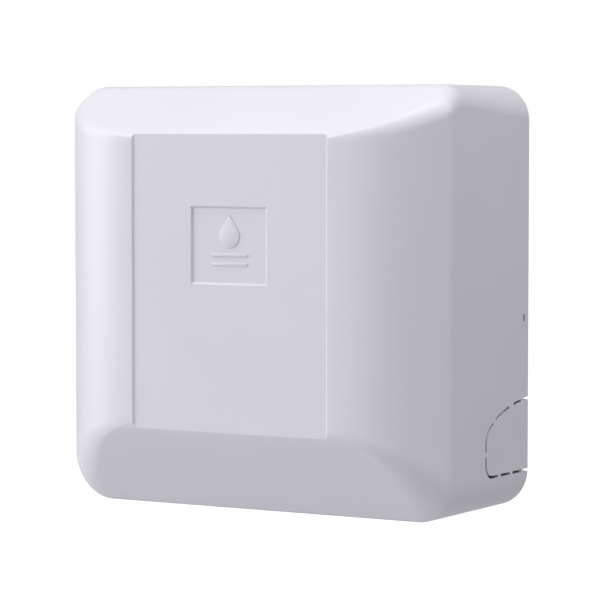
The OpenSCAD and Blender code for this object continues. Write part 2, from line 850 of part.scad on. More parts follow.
module pump_deck() {
    color("lightsteelblue") difference() {
        union() {
            translate([0, 0, tank_top]) linear_extrude(deck_t) tank_outline(0);
            translate([0, 0, tank_top - deck_rib_h]) linear_extrude(deck_rib_h) difference() {
                tank_outline(-tank_wall - slack);
                tank_outline(-tank_wall - slack - deck_rib_t);
                deck_screw_places() circle(boss_r + slack);
            }
        }
        for (x = ear_x)
            translate([x - ear_w / 2 - slack, tank_back - tank_wall - slack, tank_top - deck_rib_h - over])
                cube([ear_w + 2 * slack, tank_wall + slack + over, deck_rib_h + deck_t + 2 * over]);
        translate([0, 0, tank_top - over]) linear_extrude(deck_t + 2 * over) {
            deck_screw_places() circle(screw_hole_r);
            around(pump_x, pump_y, casing_screw_circle_r, casing_turns) circle(screw_hole_r);
            around(pump_x, pump_y, mount_circle_r, mount_turns) circle(screw_r);
            translate([pump_x, pump_y]) circle(deck_shaft_hole_r);
            translate([riser_x, riser_y]) circle(pipe_r + seat_gap);
            for (x = [level_x, alarm_x])
                translate([x, float_y]) circle(stem_r + seat_gap);
        }
    }
}

module deck_screws() {
    color("silver") {
        for (x = deck_screw_x, y = deck_screw_y)
            screw_down(x, y, deck_top + seat_gap);
        for (a = casing_turns)
            screw_down(pump_x + casing_screw_circle_r * cos(a), pump_y + casing_screw_circle_r * sin(a),
                       deck_top + seat_gap);
    }
}

// Pump
module at_pump(z) {
    translate([pump_x, pump_y, z]) children();
}

module pump_casing() {
    color("ghostwhite") difference() {
        union() {
            at_pump(casing_floor) cylinder(h = casing_top - casing_floor, r = casing_r);
            at_pump(casing_floor) cylinder(h = tank_top - casing_floor, r = column_r);
            at_pump(tank_top - casing_flange_t) cylinder(h = casing_flange_t, r = casing_flange_r);
            translate([pump_x, riser_y, riser_z]) rotate([0, 90, 0]) cylinder(h = riser_reach, r = pipe_r);
            translate([riser_x, riser_y, riser_z - pipe_r])
                cylinder(h = valve_z + riser_socket - running - riser_z + pipe_r, r = pipe_r);
            translate([riser_x, riser_y, tank_top - riser_collar_h])
                cylinder(h = riser_collar_h, r = riser_collar_r);
        }
        at_pump(casing_floor - over)
            cylinder(h = casing_roof - casing_floor + over, r = casing_r - casing_wall);
        at_pump(casing_floor) cylinder(h = tank_top - casing_floor + over, r = shaft_r + slack);
        at_pump(casing_top) cylinder(h = tank_top - casing_top + over, r = column_bore_r);
        for (turn = [0, 90])
            at_pump(casing_top + column_r) rotate(turn) rotate([0, 90, 0])
                translate([0, 0, -casing_r]) cylinder(h = 2 * casing_r, r = column_vent_r);
        around(pump_x, pump_y, casing_screw_circle_r, casing_turns)
            translate([0, 0, tank_top - casing_flange_t - over])
                cylinder(h = casing_flange_t + 2 * over, r = screw_r);
        translate([pump_x, riser_y, riser_z]) rotate([0, 90, 0]) cylinder(h = riser_reach, r = pipe_bore_r);
        translate([riser_x, riser_y, riser_z])
            cylinder(h = valve_z + riser_socket - riser_z + over, r = pipe_bore_r);
    }
}

module casing_cover() {
    color("gray") difference() {
        union() {
            at_pump(casing_bottom) cylinder(h = casing_cover_t, r = casing_r);
            at_pump(tank_floor) cylinder(h = foot_h + casing_cover_t, r = casing_inlet_r + 2 * foot_r);
            around(pump_x, pump_y, casing_r - foot_r, mount_turns)
                translate([0, 0, tank_floor]) cylinder(h = foot_h + casing_cover_t, r = foot_r);
        }
        at_pump(tank_floor - over) cylinder(h = foot_h + casing_cover_t + 2 * over, r = casing_inlet_r);
        for (k = [0 : strainer_slots - 1])
            at_pump(tank_floor - over) rotate(360 * k / strainer_slots)
                translate([0, -foot_r / 2, 0]) cube([casing_inlet_r + 3 * foot_r, foot_r, foot_h + over / 2]);
    }
}

module impeller() {
    blade_h = impeller_h - impeller_disc_t;
    color("darkorange") at_pump(shaft_bottom) difference() {
        union() {
            cylinder(h = impeller_h, r = impeller_hub_r);
            translate([0, 0, blade_h]) cylinder(h = impeller_disc_t, r = impeller_r);
            linear_extrude(blade_h + impeller_disc_t / 2) intersection() {
                circle(impeller_r);
                for (k = [0 : impeller_blades - 1])
                    rotate(360 * k / impeller_blades)
                        translate([0, impeller_hub_r - blade_t]) square([impeller_r, blade_t]);
            }
        }
        translate([0, 0, -over]) cylinder(h = impeller_h + 2 * over, r = shaft_r);
    }
}

module motor_shaft() {
    color("silver") at_pump(shaft_bottom) cylinder(h = shaft_top - shaft_bottom, r = shaft_r);
}

module water_slinger() {
    color("black") at_pump(slinger_z) tube(slinger_r, shaft_r, slinger_h);
}

// Motor
module rotor_core() {
    color("slategray") at_pump(stator_z) tube(rotor_r, shaft_r, stator_h);
}

module winding_places() {
    around(0, 0, (stator_r + stator_bore_r) / 2, [for (k = [0 : stator_slots - 1]) 360 * k / stator_slots])
        children();
}

module stator_core() {
    color("dimgray") at_pump(stator_z) difference() {
        tube(stator_r, stator_bore_r, stator_h);
        translate([0, 0, -over]) winding_places()
            cylinder(h = stator_h + 2 * over, r = winding_r + seat_gap);
    }
}

module stator_coils() {
    color("peru") at_pump(stator_z) {
        for (z = [-coil_h - slack, stator_h + slack])
            translate([0, 0, z]) tube(stator_r - 1.5 * seat_gap * stator_slots, stator_bore_r + over, coil_h);
        translate([0, 0, -slack - over]) winding_places()
            cylinder(h = stator_h + 2 * slack + 2 * over, r = winding_r);
    }
}

module motor_can() {
    color("gainsboro") {
        difference() {
            union() {
                at_pump(motor_z) cylinder(h = motor_h, r = motor_r);
                at_pump(motor_z) rotate(-terminal_turn)
                    translate([motor_r - can_t, -terminal_lug_w / 2, motor_h / 2 - terminal_lug_h / 2])
                        cube([terminal_lug_d + can_t, terminal_lug_w, terminal_lug_h]);
            }
            difference() {
                at_pump(motor_z + can_t) cylinder(h = motor_h, r = motor_r - can_t);
                at_pump(motor_z) cylinder(h = can_t + bearing_h, r = bearing_r + bearing_pocket_wall);
            }
            at_pump(motor_z + can_t) cylinder(h = bearing_h + over, r = bearing_r);
            at_pump(motor_z - over) cylinder(h = motor_h, r = shaft_r + over);
            for (k = [0 : vent_count - 1])
                at_pump(motor_z + motor_h - vent_w) rotate(360 * k / vent_count)
                    translate([0, -vent_w / 2, -vent_l]) cube([motor_r + over, vent_w, vent_l]);
        }
    }
}

module motor_end_cap() {
    color("silver") at_pump(motor_top) difference() {
        union() {
            cylinder(h = cap_t, r = motor_r);
            translate([0, 0, -bearing_h])
                cylinder(h = bearing_h + cap_t, r = bearing_r + bearing_pocket_wall);
        }
        translate([0, 0, -bearing_h - over]) cylinder(h = bearing_h + over, r = bearing_r);
        translate([0, 0, -over]) cylinder(h = cap_t + 2 * over, r = shaft_r + over);
        for (k = [0 : vent_count - 1])
            rotate(360 * k / vent_count)
                translate([bearing_r + 2 * bearing_pocket_wall, -vent_l / 2, -over])
                    cube([vent_w, vent_l, cap_t + 2 * over]);
    }
}

module lower_bearing() {
    color("goldenrod") at_pump(motor_z + can_t) tube(bearing_r, shaft_r + running, bearing_h);
}

module upper_bearing() {
    color("goldenrod") at_pump(motor_top - bearing_h) tube(bearing_r, shaft_r + running, bearing_h);
}

module motor_bracket() {
    color("silver") at_pump(plate_z) linear_extrude(plate_t) difference() {
        union() {
            circle(plate_r);
            for (a = mount_turns)
                rotate(a) {
                    translate([0, -plate_lobe_r]) square([mount_circle_r, 2 * plate_lobe_r]);
                    translate([mount_circle_r, 0]) circle(plate_lobe_r);
                }
        }
        circle(bearing_r);
        around(0, 0, mount_circle_r, mount_turns) circle(screw_hole_r);
    }
}

module motor_mounts() {
    color("black") around(pump_x, pump_y, mount_circle_r, mount_turns)
    translate([0, 0, deck_top]) difference() {
        union() {
            cylinder(h = mount_lip, r = mount_r);
            cylinder(h = mount_h, r = mount_waist_r);
            translate([0, 0, mount_h - mount_lip]) cylinder(h = mount_lip, r = mount_r);
        }
        translate([0, 0, -over]) cylinder(h = mount_h + 2 * over, r = screw_hole_r);
    }
}

module motor_screws() {
    color("silver") for (a = mount_turns)
        screw_down(pump_x + mount_circle_r * cos(a), pump_y + mount_circle_r * sin(a),
                   motor_z + seat_gap, plate_t + mount_h + deck_t);
}

module cooling_fan() {
    color("steelblue") at_pump(fan_z) difference() {
        union() {
            cylinder(h = fan_h, r = fan_hub_r);
            cylinder(h = fan_blade_t, r = fan_r);
            for (k = [0 : fan_blades - 1])
                rotate(360 * (k + 0.5) / fan_blades)
                    translate([fan_blade_from, -fan_blade_t / 2, fan_blade_t / 2])
                        cube([fan_r - fan_blade_t - fan_blade_from, fan_blade_t, fan_h - fan_blade_t]);
        }
        translate([0, 0, -over]) cylinder(h = fan_h + 2 * over, r = shaft_r);
    }
}

// Check valve, hose and outlet
module at_riser(z) {
    translate([riser_x, riser_y, z]) children();
}

module valve_flange_outline() {
    circle(valve_r);
    translate([-valve_ear_r, -valve_ear_y]) square([2 * valve_ear_r, 2 * valve_ear_y]);
    for (side = [-1, 1]) translate([0, side * valve_ear_y]) circle(valve_ear_r);
}

module valve_screw_places() {
    for (side = [-1, 1]) translate([0, side * valve_ear_y]) children();
}

module check_valve_body() {
    color("aqua", 0.6) at_riser(valve_z) difference() {
        union() {
            cylinder(h = valve_h, r = valve_r);
            translate([0, 0, valve_h - valve_ear_h]) linear_extrude(valve_ear_h) valve_flange_outline();
        }
        translate([0, 0, -over]) cylinder(h = riser_socket + over, r = pipe_r);
        translate([0, 0, -over]) cylinder(h = valve_h, r = valve_seat_r);
        translate([0, 0, riser_socket + valve_seat_h]) cylinder(h = valve_h, r = valve_r - valve_wall);
        translate([0, 0, -over]) valve_screw_places() cylinder(h = valve_h + 2 * over, r = screw_r);
    }
}

module check_valve_ball() {
    color("black") at_riser(ball_z) sphere(ball_r);
}

module check_valve_seal() {
    color("black") at_riser(valve_z + valve_h) linear_extrude(valve_seal_t) difference() {
        valve_flange_outline();
        circle(valve_r - valve_wall);
        valve_screw_places() circle(screw_hole_r);
    }
}

module check_valve_elbow() {
    color("white") at_riser(elbow_z) difference() {
        union() {
            linear_extrude(elbow_flange_t) valve_flange_outline();
            cylinder(h = elbow_h, r = elbow_r);
            translate([0, 0, elbow_h / 2]) rotate([0, 90, 0]) cylinder(h = valve_r, r = hose_r);
            translate([valve_r, 0, elbow_h / 2]) rotate([0, 90, 0]) cylinder(h = elbow_tail, r = tail_r);
        }
        translate([0, 0, -over]) cylinder(h = elbow_h / 2 + over, r = tail_bore_r);
        translate([0, 0, elbow_h / 2]) rotate([0, 90, 0])
            cylinder(h = valve_r + elbow_tail + over, r = tail_bore_r);
        translate([0, 0, -over]) valve_screw_places()
            cylinder(h = elbow_flange_t + 2 * over, r = screw_hole_r);
    }
}

module hose_profile() {
    difference() {
        circle(hose_r);
        circle(hose_bore_r);
    }
}

module discharge_hose() {
    color("darkseagreen") {
        translate([hose_start_x, riser_y, hose_z]) rotate([0, 90, 0])
            linear_extrude(hose_bend_x - hose_start_x) hose_profile();
        translate([hose_bend_x, riser_y, hose_z + hose_bend_r]) rotate([90, 0, 0]) rotate(-90)
            rotate_extrude(angle = 90) translate([hose_bend_r, 0]) hose_profile();
        translate([hose_up_x, riser_y, hose_z + hose_bend_r])
            linear_extrude(hose_top_z - hose_z - hose_bend_r) hose_profile();
    }
}

module hose_clip() {
    tube(hose_r + clip_t, hose_r, clip_w);
    for (side = [-1, 1])
        translate([side * clip_t - clip_t / 2, -hose_r - clip_ear - clip_t / 2, 0])
            cube([clip_t, clip_ear, clip_w]);
}

module hose_clips() {
    color("silver") {
        translate([hose_start_x + clip_w, riser_y, hose_z]) rotate([0, 90, 0]) hose_clip();
        translate([hose_up_x, riser_y, hose_top_z - 1.5 * clip_w]) hose_clip();
    }
}

module outlet_joint() {
    lower = hose_top_z - hose_z - hose_bend_r;
    color("white") translate([hose_up_x, riser_y, outlet_z]) difference() {
        union() {
            translate([0, 0, -slack - lower]) cylinder(h = slack + lower, r = tail_r);
            cylinder(h = outlet_flange_t, r = outlet_flange_r);
            translate([0, 0, outlet_flange_t])
                cylinder(h = bracket_h + 2 * slack, r = outlet_neck_r);
            translate([0, 0, outlet_flange_t])
                cylinder(h = bracket_h + 2 * slack + outlet_tail, r = outlet_r);
        }
        translate([0, 0, -slack - lower - over]) cylinder(h = lower + slack + over, r = tail_bore_r);
        translate([0, 0, -slack]) cylinder(h = bracket_h, r = tail_bore_r);
        translate([0, 0, outlet_flange_t])
            cylinder(h = outlet_tail + bracket_h + 2 * slack + over, r = outlet_bore_r);
    }
}

module outlet_bracket() {
    color("white") translate([hose_up_x, 0, bracket_z]) difference() {
        union() {
            translate([0, riser_y, 0]) cylinder(h = bracket_h, r = outlet_neck_r + seat_gap + bracket_ring_t);
            translate([-bracket_arm_t / 2, riser_y, 0])
                cube([bracket_arm_t, bracket_back - riser_y, bracket_h]);
            translate([-bracket_foot_w / 2, bracket_back - bracket_foot_t, 0])
                cube([bracket_foot_w, bracket_foot_t, bracket_h]);
        }
        translate([0, riser_y, -over]) cylinder(h = bracket_h + 2 * over, r = outlet_neck_r + seat_gap);
        for (side = [-1, 1])
            translate([side * bracket_screw_x, bracket_back + over, bracket_h / 2]) rotate([90, 0, 0])
                cylinder(h = bracket_foot_t + 2 * over, r = screw_hole_r);
    }
}

module fitting_screws() {
    color("silver") {
        for (side = [-1, 1]) {
            screw_to_wall(hose_up_x + side * bracket_screw_x, bracket_back - bracket_foot_t - seat_gap,
                          bracket_screw_z, bracket_foot_t + seat_gap + over);
            screw_to_wall(clamp_x + side * clamp_screw_x, base_front_y - box_boss_h - clamp_t - seat_gap,
                          clamp_z, clamp_t + seat_gap + box_boss_h);
            screw_down(riser_x, riser_y + side * valve_ear_y, elbow_z + elbow_flange_t + seat_gap);
        }
    }
}

// Float switches
module switch_stem(x, bottom, collar_z) {
    translate([x, float_y, 0]) {
        translate([0, 0, bottom]) cylinder(h = deck_top + stem_nut_h - bottom, r = stem_r);
        translate([0, 0, collar_z]) cylinder(h = tank_top - collar_z, r = stem_collar_r);
        translate([0, 0, deck_top + seat_gap]) cylinder(h = stem_nut_h, r = stem_nut_r, $fn = 6);
        translate([0, 0, deck_top + seat_gap + stem_nut_h]) cylinder(h = stem_head_h, r = stem_head_r);
    }
}

module float_clip(x, z) {
    translate([x, float_y, z]) tube(clip_r, stem_r, clip_h);
}

module float_body(x, z, h) {
    translate([x, float_y, z]) rotate_extrude() difference() {
        translate([float_bore_r, 0]) square([float_r - float_bore_r, h]);
        for (end = [0, h])
            translate([float_r, end]) rotate(45) square([2 * slack, 2 * slack], center = true);
    }
}

module level_switch_stem() {
    color("white") switch_stem(level_x, level_stem_bottom, level_collar_z);
}

module level_float() {
    color("orange") float_body(level_x, level_float_z, level_float_h);
}

module level_float_clip() {
    color("silver") float_clip(level_x, level_stem_bottom);
}

module alarm_switch_stem() {
    color("white") switch_stem(alarm_x, alarm_stem_bottom, tank_top - stem_collar_h);
}

module alarm_float() {
    color("red") float_body(alarm_x, alarm_float_z, alarm_float_h);
}

module alarm_float_clip() {
    color("silver") float_clip(alarm_x, alarm_stem_bottom);
}

// Control box

module box_outline(grow) {
    r = max(over / 2, box_corner_r + grow);
    translate([box_left + box_w / 2, box_bottom + box_h / 2])
        round_outline(box_w + 2 * grow, box_h + 2 * grow, r, r);
}

module control_box() {
    color("beige") difference() {
        union() {
            difference() {
                facing(box_front, box_d) box_outline(0);
                facing(box_front - over, box_d - box_wall + over) box_outline(-box_wall);
            }
            for (x = post_x, z = post_z)
                facing(box_front, box_d - box_wall / 2) translate([x, z]) circle(lid_post_r);
            for (x = board_screw_x, z = board_screw_z)
                facing(board_back, board_post_h + box_wall / 2) translate([x, z]) circle(board_post_r);
        }
        for (x = post_x, z = post_z)
            facing(box_front - over, screw_len + over) translate([x, z]) circle(screw_r);
        for (x = board_screw_x, z = board_screw_z)
            facing(board_back - over, board_post_h + over) translate([x, z]) circle(screw_r);
        for (x = box_screw_x, z = box_screw_z)
            facing(box_back - box_wall - over, box_wall + 2 * over) translate([x, z]) circle(screw_hole_r);
        for (x = lead_grommets_x)
            translate([x, grommet_y, box_bottom - over])
                cylinder(h = box_wall + 2 * over, r = grommet_r - over);
        translate([box_right - box_wall - over, grommet_y, supply_grommet_z]) rotate([0, 90, 0])
            cylinder(h = box_wall + 2 * over, r = grommet_r - over);
    }
}

module box_screws() {
    color("silver") for (x = box_screw_x, z = box_screw_z)
        screw_to_wall(x, box_back - box_wall - seat_gap, z, box_wall + seat_gap + box_boss_h);
}

module control_box_lid() {
    color("beige") difference() {
        facing(box_front - lid_t, lid_t) box_outline(0);
        facing(box_front - lid_t - over, lid_t + 2 * over) {
            for (x = post_x, z = post_z) translate([x, z]) circle(screw_hole_r);
            translate([button_x, button_z]) circle(button_r + slack);
            translate([led_x, led_z]) circle(led_r + slack);
        }
    }
}

module lid_screws() {
    color("silver") for (x = post_x, z = post_z)
        screw_to_wall(x, box_front - lid_t - seat_gap, z);
}

module circuit_board() {
    color("green") difference() {
        facing(board_front, board_t) translate([board_left, board_bottom]) square([board_w, board_h]);
        facing(board_front - over, board_t + 2 * over)
            for (x = board_screw_x, z = board_screw_z) translate([x, z]) circle(screw_hole_r);
    }
}

module board_screws() {
    color("silver") for (x = board_screw_x, z = board_screw_z)
        screw_to_wall(x, board_front - seat_gap, z);
}

// A block that stands on the board, with its lower left corner at the place given in shares
module on_board(place, w, h, d) {
    translate([board_left + place[0] * board_w, board_front - d, board_bottom + place[1] * board_h])
        cube([w, d, h]);
}

module transformer() {
    color("saddlebrown") {
        on_board(transformer_share, transformer_w, transformer_h, transformer_d);
        translate([(transformer_w - bobbin_w) / 2, 0, (transformer_h - bobbin_h) / 2])
            on_board(transformer_share, bobbin_w, bobbin_h, transformer_d - 2 * over);
    }
}

module relay() {
    color("royalblue") on_board(relay_share, relay_w, relay_h, relay_d);
}

module board_parts() {
    color("black") {
        for (s = capacitor_shares)
            translate([board_left + s[0] * board_w, board_front, board_bottom + s[1] * board_h])
                rotate([90, 0, 0]) cylinder(h = capacitor_h, r = capacitor_r);
        on_board(chip_share, chip_w, chip_h, chip_d);
        translate([button_x - button_base / 2, board_front - button_base_h, button_z - button_base / 2])
            cube([button_base, button_base_h, button_base]);
        translate([led_x, board_front, led_z]) rotate([90, 0, 0])
            cylinder(h = led_stand_h, r = led_r + over / 2);
    }
}

module board_connectors() {
    color("white") for (s = connector_shares)
        on_board([s, connector_z_share], connector_w, connector_h, connector_d);
}

module status_led() {
    color("lime") translate([led_x, board_front - led_stand_h, led_z]) rotate([90, 0, 0]) {
        cylinder(h = led_h - led_stand_h, r = led_r);
        translate([0, 0, led_h - led_stand_h]) sphere(led_r);
    }
}

module test_button() {
    front = box_front - lid_t - 2 * button_travel;
    back = board_front - button_base_h - button_travel - seat_gap;
    color("red") translate([button_x, back, button_z]) rotate([90, 0, 0]) {
        cylinder(h = back - front, r = button_r - slack);
        cylinder(h = box_front * -1 + back - over, r = button_r - slack / 2);
    }
}

module block_grid() {
    for (k = [0 : poles - 1], side = [-1, 1])
        translate([block_x + block_w / 2 + side * block_w / 4, 0, block_z + (k + 0.5) * block_pole])
            children();
}

module terminal_block() {
    back = box_back - box_wall;
    color("ivory") difference() {
        translate([block_x, back - block_d, block_z]) cube([block_w, block_d, block_h]);
        block_grid() translate([0, back - block_d / 2, 0]) rotate([90, 0, 0])
            cylinder(h = block_d, r = terminal_r + seat_gap);
        for (k = [1 : poles - 1])
            translate([block_x + block_w / 4, back - block_d - over, block_z + k * block_pole - over / 4])
                cube([block_w / 2, block_d / 2, over / 2]);
    }
}

module terminal_screws() {
    color("silver") block_grid() translate([0, box_back - box_wall - block_d / 2, 0]) rotate([90, 0, 0])
        difference() {
            cylinder(h = block_d / 3, r = terminal_r);
            translate([-terminal_r, -over / 3, block_d / 3 - over])
                cube([2 * terminal_r, 2 * over / 3, 2 * over]);
        }
}

module grommet() {
    difference() {
        union() {
            cylinder(h = box_wall + 2 * grommet_lip, r = grommet_r - over - running);
            for (z = [0, box_wall + grommet_lip])
                translate([0, 0, z]) cylinder(h = grommet_lip, r = grommet_r);
        }
        translate([0, 0, -over]) cylinder(h = box_wall + 2 * grommet_lip + 2 * over, r = grommet_bore_r);
    }
}

module box_grommets() {
    color("black") {
        for (x = lead_grommets_x) translate([x, grommet_y, box_bottom - grommet_lip]) grommet();
        translate([box_right - box_wall - grommet_lip, grommet_y, supply_grommet_z])
            rotate([0, 90, 0]) grommet();
    }
}

module cable_clamp() {
    foot = clamp_w / 2;
    back = base_front_y - box_boss_h;
    color("white") difference() {
        translate([clamp_x, back, clamp_z - clamp_h / 2]) linear_extrude(clamp_h) {
            difference() {
                union() {
                    translate([-foot, -clamp_t]) square([2 * foot, clamp_t]);
                    translate([0, -clamp_arch_r]) circle(clamp_arch_r + clamp_t);
                    translate([-clamp_arch_r - clamp_t, -clamp_arch_r])
                        square([2 * clamp_arch_r + 2 * clamp_t, clamp_arch_r]);
                }
                translate([0, -clamp_arch_r]) circle(clamp_arch_r);
                translate([-clamp_arch_r, -clamp_arch_r]) square([2 * clamp_arch_r, clamp_arch_r + over]);
                translate([-foot, 0]) square([2 * foot, 2 * clamp_arch_r]);
            }
        }
        for (side = [-1, 1])
            translate([clamp_x + side * clamp_screw_x, back + over, clamp_z]) rotate([90, 0, 0])
                cylinder(h = clamp_t + 2 * over, r = screw_hole_r);
    }
}

// Leads inside the cover, along points chosen by hand

module motor_lead() {
    color("gray") lead(motor_route, lead_r);
}

module float_leads() {
    color("dimgray") {
        lead(level_route, float_lead_r);
        lead(alarm_route, float_lead_r);
    }
}

// What is drawn
front_cover();
wall_base();
tank();
tank_screws();
drain_plug();
drain_plug_seal();
pump_deck();
deck_screws();
pump_casing();
casing_cover();
impeller();
motor_shaft();
rotor_core();
stator_core();
stator_coils();
motor_can();
motor_end_cap();
lower_bearing();
upper_bearing();
motor_bracket();
motor_mounts();
motor_screws();
cooling_fan();
water_slinger();
check_valve_body();
check_valve_ball();
check_valve_seal();
check_valve_elbow();
discharge_hose();
hose_clips();
outlet_joint();
outlet_bracket();
fitting_screws();
inlet_joint();
inlet_gasket();
inlet_nut();
level_switch_stem();
level_float();
level_float_clip();
alarm_switch_stem();
alarm_float();
alarm_float_clip();
control_box();
box_screws();
control_box_lid();
lid_screws();
circuit_board();
board_screws();
transformer();
relay();
board_parts();
board_connectors();
status_led();
test_button();
terminal_block();
terminal_screws();
box_grommets();
motor_lead();
float_leads();
cable_clamp();
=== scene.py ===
import math

import bmesh
import bpy
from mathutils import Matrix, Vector


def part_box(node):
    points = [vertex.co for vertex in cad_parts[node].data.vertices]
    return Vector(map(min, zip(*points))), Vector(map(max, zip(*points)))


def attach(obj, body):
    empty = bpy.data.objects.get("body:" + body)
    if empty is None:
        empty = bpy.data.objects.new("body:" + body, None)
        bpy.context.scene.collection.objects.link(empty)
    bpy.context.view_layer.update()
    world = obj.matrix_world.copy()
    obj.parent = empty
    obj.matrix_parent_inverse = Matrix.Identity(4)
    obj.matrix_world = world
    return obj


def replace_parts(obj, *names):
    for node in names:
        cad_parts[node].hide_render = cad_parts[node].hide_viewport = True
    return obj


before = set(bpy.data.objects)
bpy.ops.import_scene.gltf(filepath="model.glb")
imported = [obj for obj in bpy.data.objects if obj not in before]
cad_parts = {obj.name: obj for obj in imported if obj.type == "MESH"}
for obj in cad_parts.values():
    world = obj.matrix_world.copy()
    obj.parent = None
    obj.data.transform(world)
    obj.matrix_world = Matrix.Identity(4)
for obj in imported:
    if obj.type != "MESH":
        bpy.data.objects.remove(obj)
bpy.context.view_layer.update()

mm = 0.001

# Wall base: a shallow tray with ribs, moulded in white ABS and screwed to the wall through its four bosses.
# Everything else hangs on it. Its edges have the small radius that a mould leaves.


def linear(shade):
    """An sRGB colour in hex as the linear values that the shaders take."""
    parts = [int(shade[i:i + 2], 16) / 255 for i in (0, 2, 4)]
    return [c / 12.92 if c <= 0.04045 else ((c + 0.055) / 1.055) ** 2.4 for c in parts] + [1]


def put(material, kind, settings=None, inputs=None):
    """Adds a node to the material. An input is a value or another node's output."""
    tree = material.node_tree
    added = tree.nodes.new(kind)
    for name, value in (settings or {}).items():
        setattr(added, name, value)
    for name, value in (inputs or {}).items():
        if isinstance(value, bpy.types.NodeSocket):
            tree.links.new(value, added.inputs[name])
        else:
            added.inputs[name].default_value = value
    return added


def blank(name):
    """A new material with nothing in it."""
    material = bpy.data.materials.new(name)
    material.use_nodes = True
    material.node_tree.nodes.clear()
    return material


def surface(material, **inputs):
    """Ends the material with its shader, whose inputs are named with low lines for spaces."""
    named = {name.replace("_", " "): value for name, value in inputs.items()}
    shader = put(material, "ShaderNodeBsdfPrincipled", inputs=named)
    put(material, "ShaderNodeOutputMaterial", inputs={"Surface": shader.outputs["BSDF"]})
    return material


def moulded(name, thin, full, rough, grain_mm=0.5, depth_mm=0.006, cloud_mm=22, **inputs):
    """A moulded plastic. The melt's flow leaves faint clouds of two shades, and the mould leaves its grain."""
    material = blank(name)
    place = put(material, "ShaderNodeTexCoord").outputs["Object"]
    cloud = put(material, "ShaderNodeTexNoise", inputs={
        "Vector": place, "Scale": 1000 / cloud_mm, "Detail": 3.0, "Roughness": 0.45})
    grain = put(material, "ShaderNodeTexNoise", inputs={
        "Vector": place, "Scale": 1000 / grain_mm, "Detail": 2.0, "Roughness": 0.6})
    tone = put(material, "ShaderNodeMix", {"data_type": "RGBA"}, {
        0: cloud.outputs["Fac"], 6: linear(thin), 7: linear(full)})
    gloss = put(material, "ShaderNodeMapRange", inputs={
        "Value": cloud.outputs["Fac"], "To Min": rough - 0.05, "To Max": rough + 0.05})
    skin = put(material, "ShaderNodeBump", inputs={
        "Strength": 1.0, "Distance": depth_mm / 1000, "Height": grain.outputs["Fac"]})
    return surface(material, Base_Color=tone.outputs[2], Roughness=gloss.outputs["Result"],
                   Normal=skin.outputs["Normal"], **inputs)


def settle(bm, name, material, body, sharp_degrees=32):
    """Makes a piece of the finished mesh: smooth but for its sharp edges, on its body."""
    for face in bm.faces:
        face.smooth = True
    for edge in bm.edges:
        edge.smooth = len(edge.link_faces) == 2 and edge.calc_face_angle() < math.radians(sharp_degrees)
    mesh = bpy.data.meshes.new(name)
    bm.to_mesh(mesh)
    bm.free()
    mesh.materials.append(material)
    piece = bpy.data.objects.new(name, mesh)
    bpy.context.scene.collection.objects.link(piece)
    piece.modifiers.new("face_weight", "WEIGHTED_NORMAL").keep_sharp = True
    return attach(piece, body)


weld_distance, flat_angle, corner_angle = 2e-6, math.radians(0.5), math.radians(35)


def round_off(bm, edges, radius):
    """Rounds some edges of the mesh in two steps."""
    bmesh.ops.bevel(bm, geom=edges, affect="EDGES", offset=radius, segments=2, profile=0.5, material=-1,
                    clamp_overlap=True)


def softened(node, name, material, radius_mm):
    """A copy of a node of the housing with its edges rounded, which stands for it."""
    bm = bmesh.new()
    bm.from_mesh(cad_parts[node].data)
    bmesh.ops.remove_doubles(bm, verts=bm.verts, dist=weld_distance)
    bmesh.ops.dissolve_limit(bm, angle_limit=flat_angle, verts=bm.verts, edges=bm.edges)
    corners = [e for e in bm.edges if len(e.link_faces) == 2 and e.calc_face_angle() > corner_angle]
    round_off(bm, corners, radius_mm / 1000)
    piece = settle(bm, name, material, "housing")
    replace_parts(piece, node)
    return piece


def dress(material, *nodes):
    """Gives CAD nodes, whose shape stays, their material."""
    for node in nodes:
        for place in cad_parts[node].material_slots:
            place.link = "OBJECT"
            place.material = material


# ABS, injection moulded: satin, with slow clouds from the flow of the melt
base_abs = moulded("base_abs", "D9D8D6", "E0DFDD", 0.48, IOR=1.54)
softened("wall_base", "base_tray", base_abs, 0.4)

# Tank: a box with rounded corners, moulded in natural polypropylene, so that the water and the floats show
# through. Screws hold it to the base, and a plug with a seal closes its drain.

# Natural polypropylene, moulded: milky, lets light through softly
tank_pp = moulded("tank_polypropylene", "DCE2E3", "E6EAEA", 0.4, depth_mm=0.003, IOR=1.49,
                  Transmission_Weight=0.45, Subsurface_Weight=0.2, Subsurface_Radius=(0.004, 0.004, 0.004),
                  Subsurface_Scale=1.0)
softened("tank", "tank_body", tank_pp, 0.8)
# Grey polypropylene, moulded
plug_pp = moulded("plug_polypropylene", "4A4C50", "515458", 0.5, IOR=1.49)
dress(plug_pp, "drain_plug")
# Nitrile rubber, moulded: dull black with a grey bloom
seal_rubber = moulded("seal_rubber", "151516", "1E1E20", 0.72, grain_mm=0.8, depth_mm=0.01, cloud_mm=6,
                      IOR=1.52)
dress(seal_rubber, "drain_plug_seal", "inlet_gasket", "check_valve_seal", "motor_mounts", "water_slinger",
      "box_grommets")


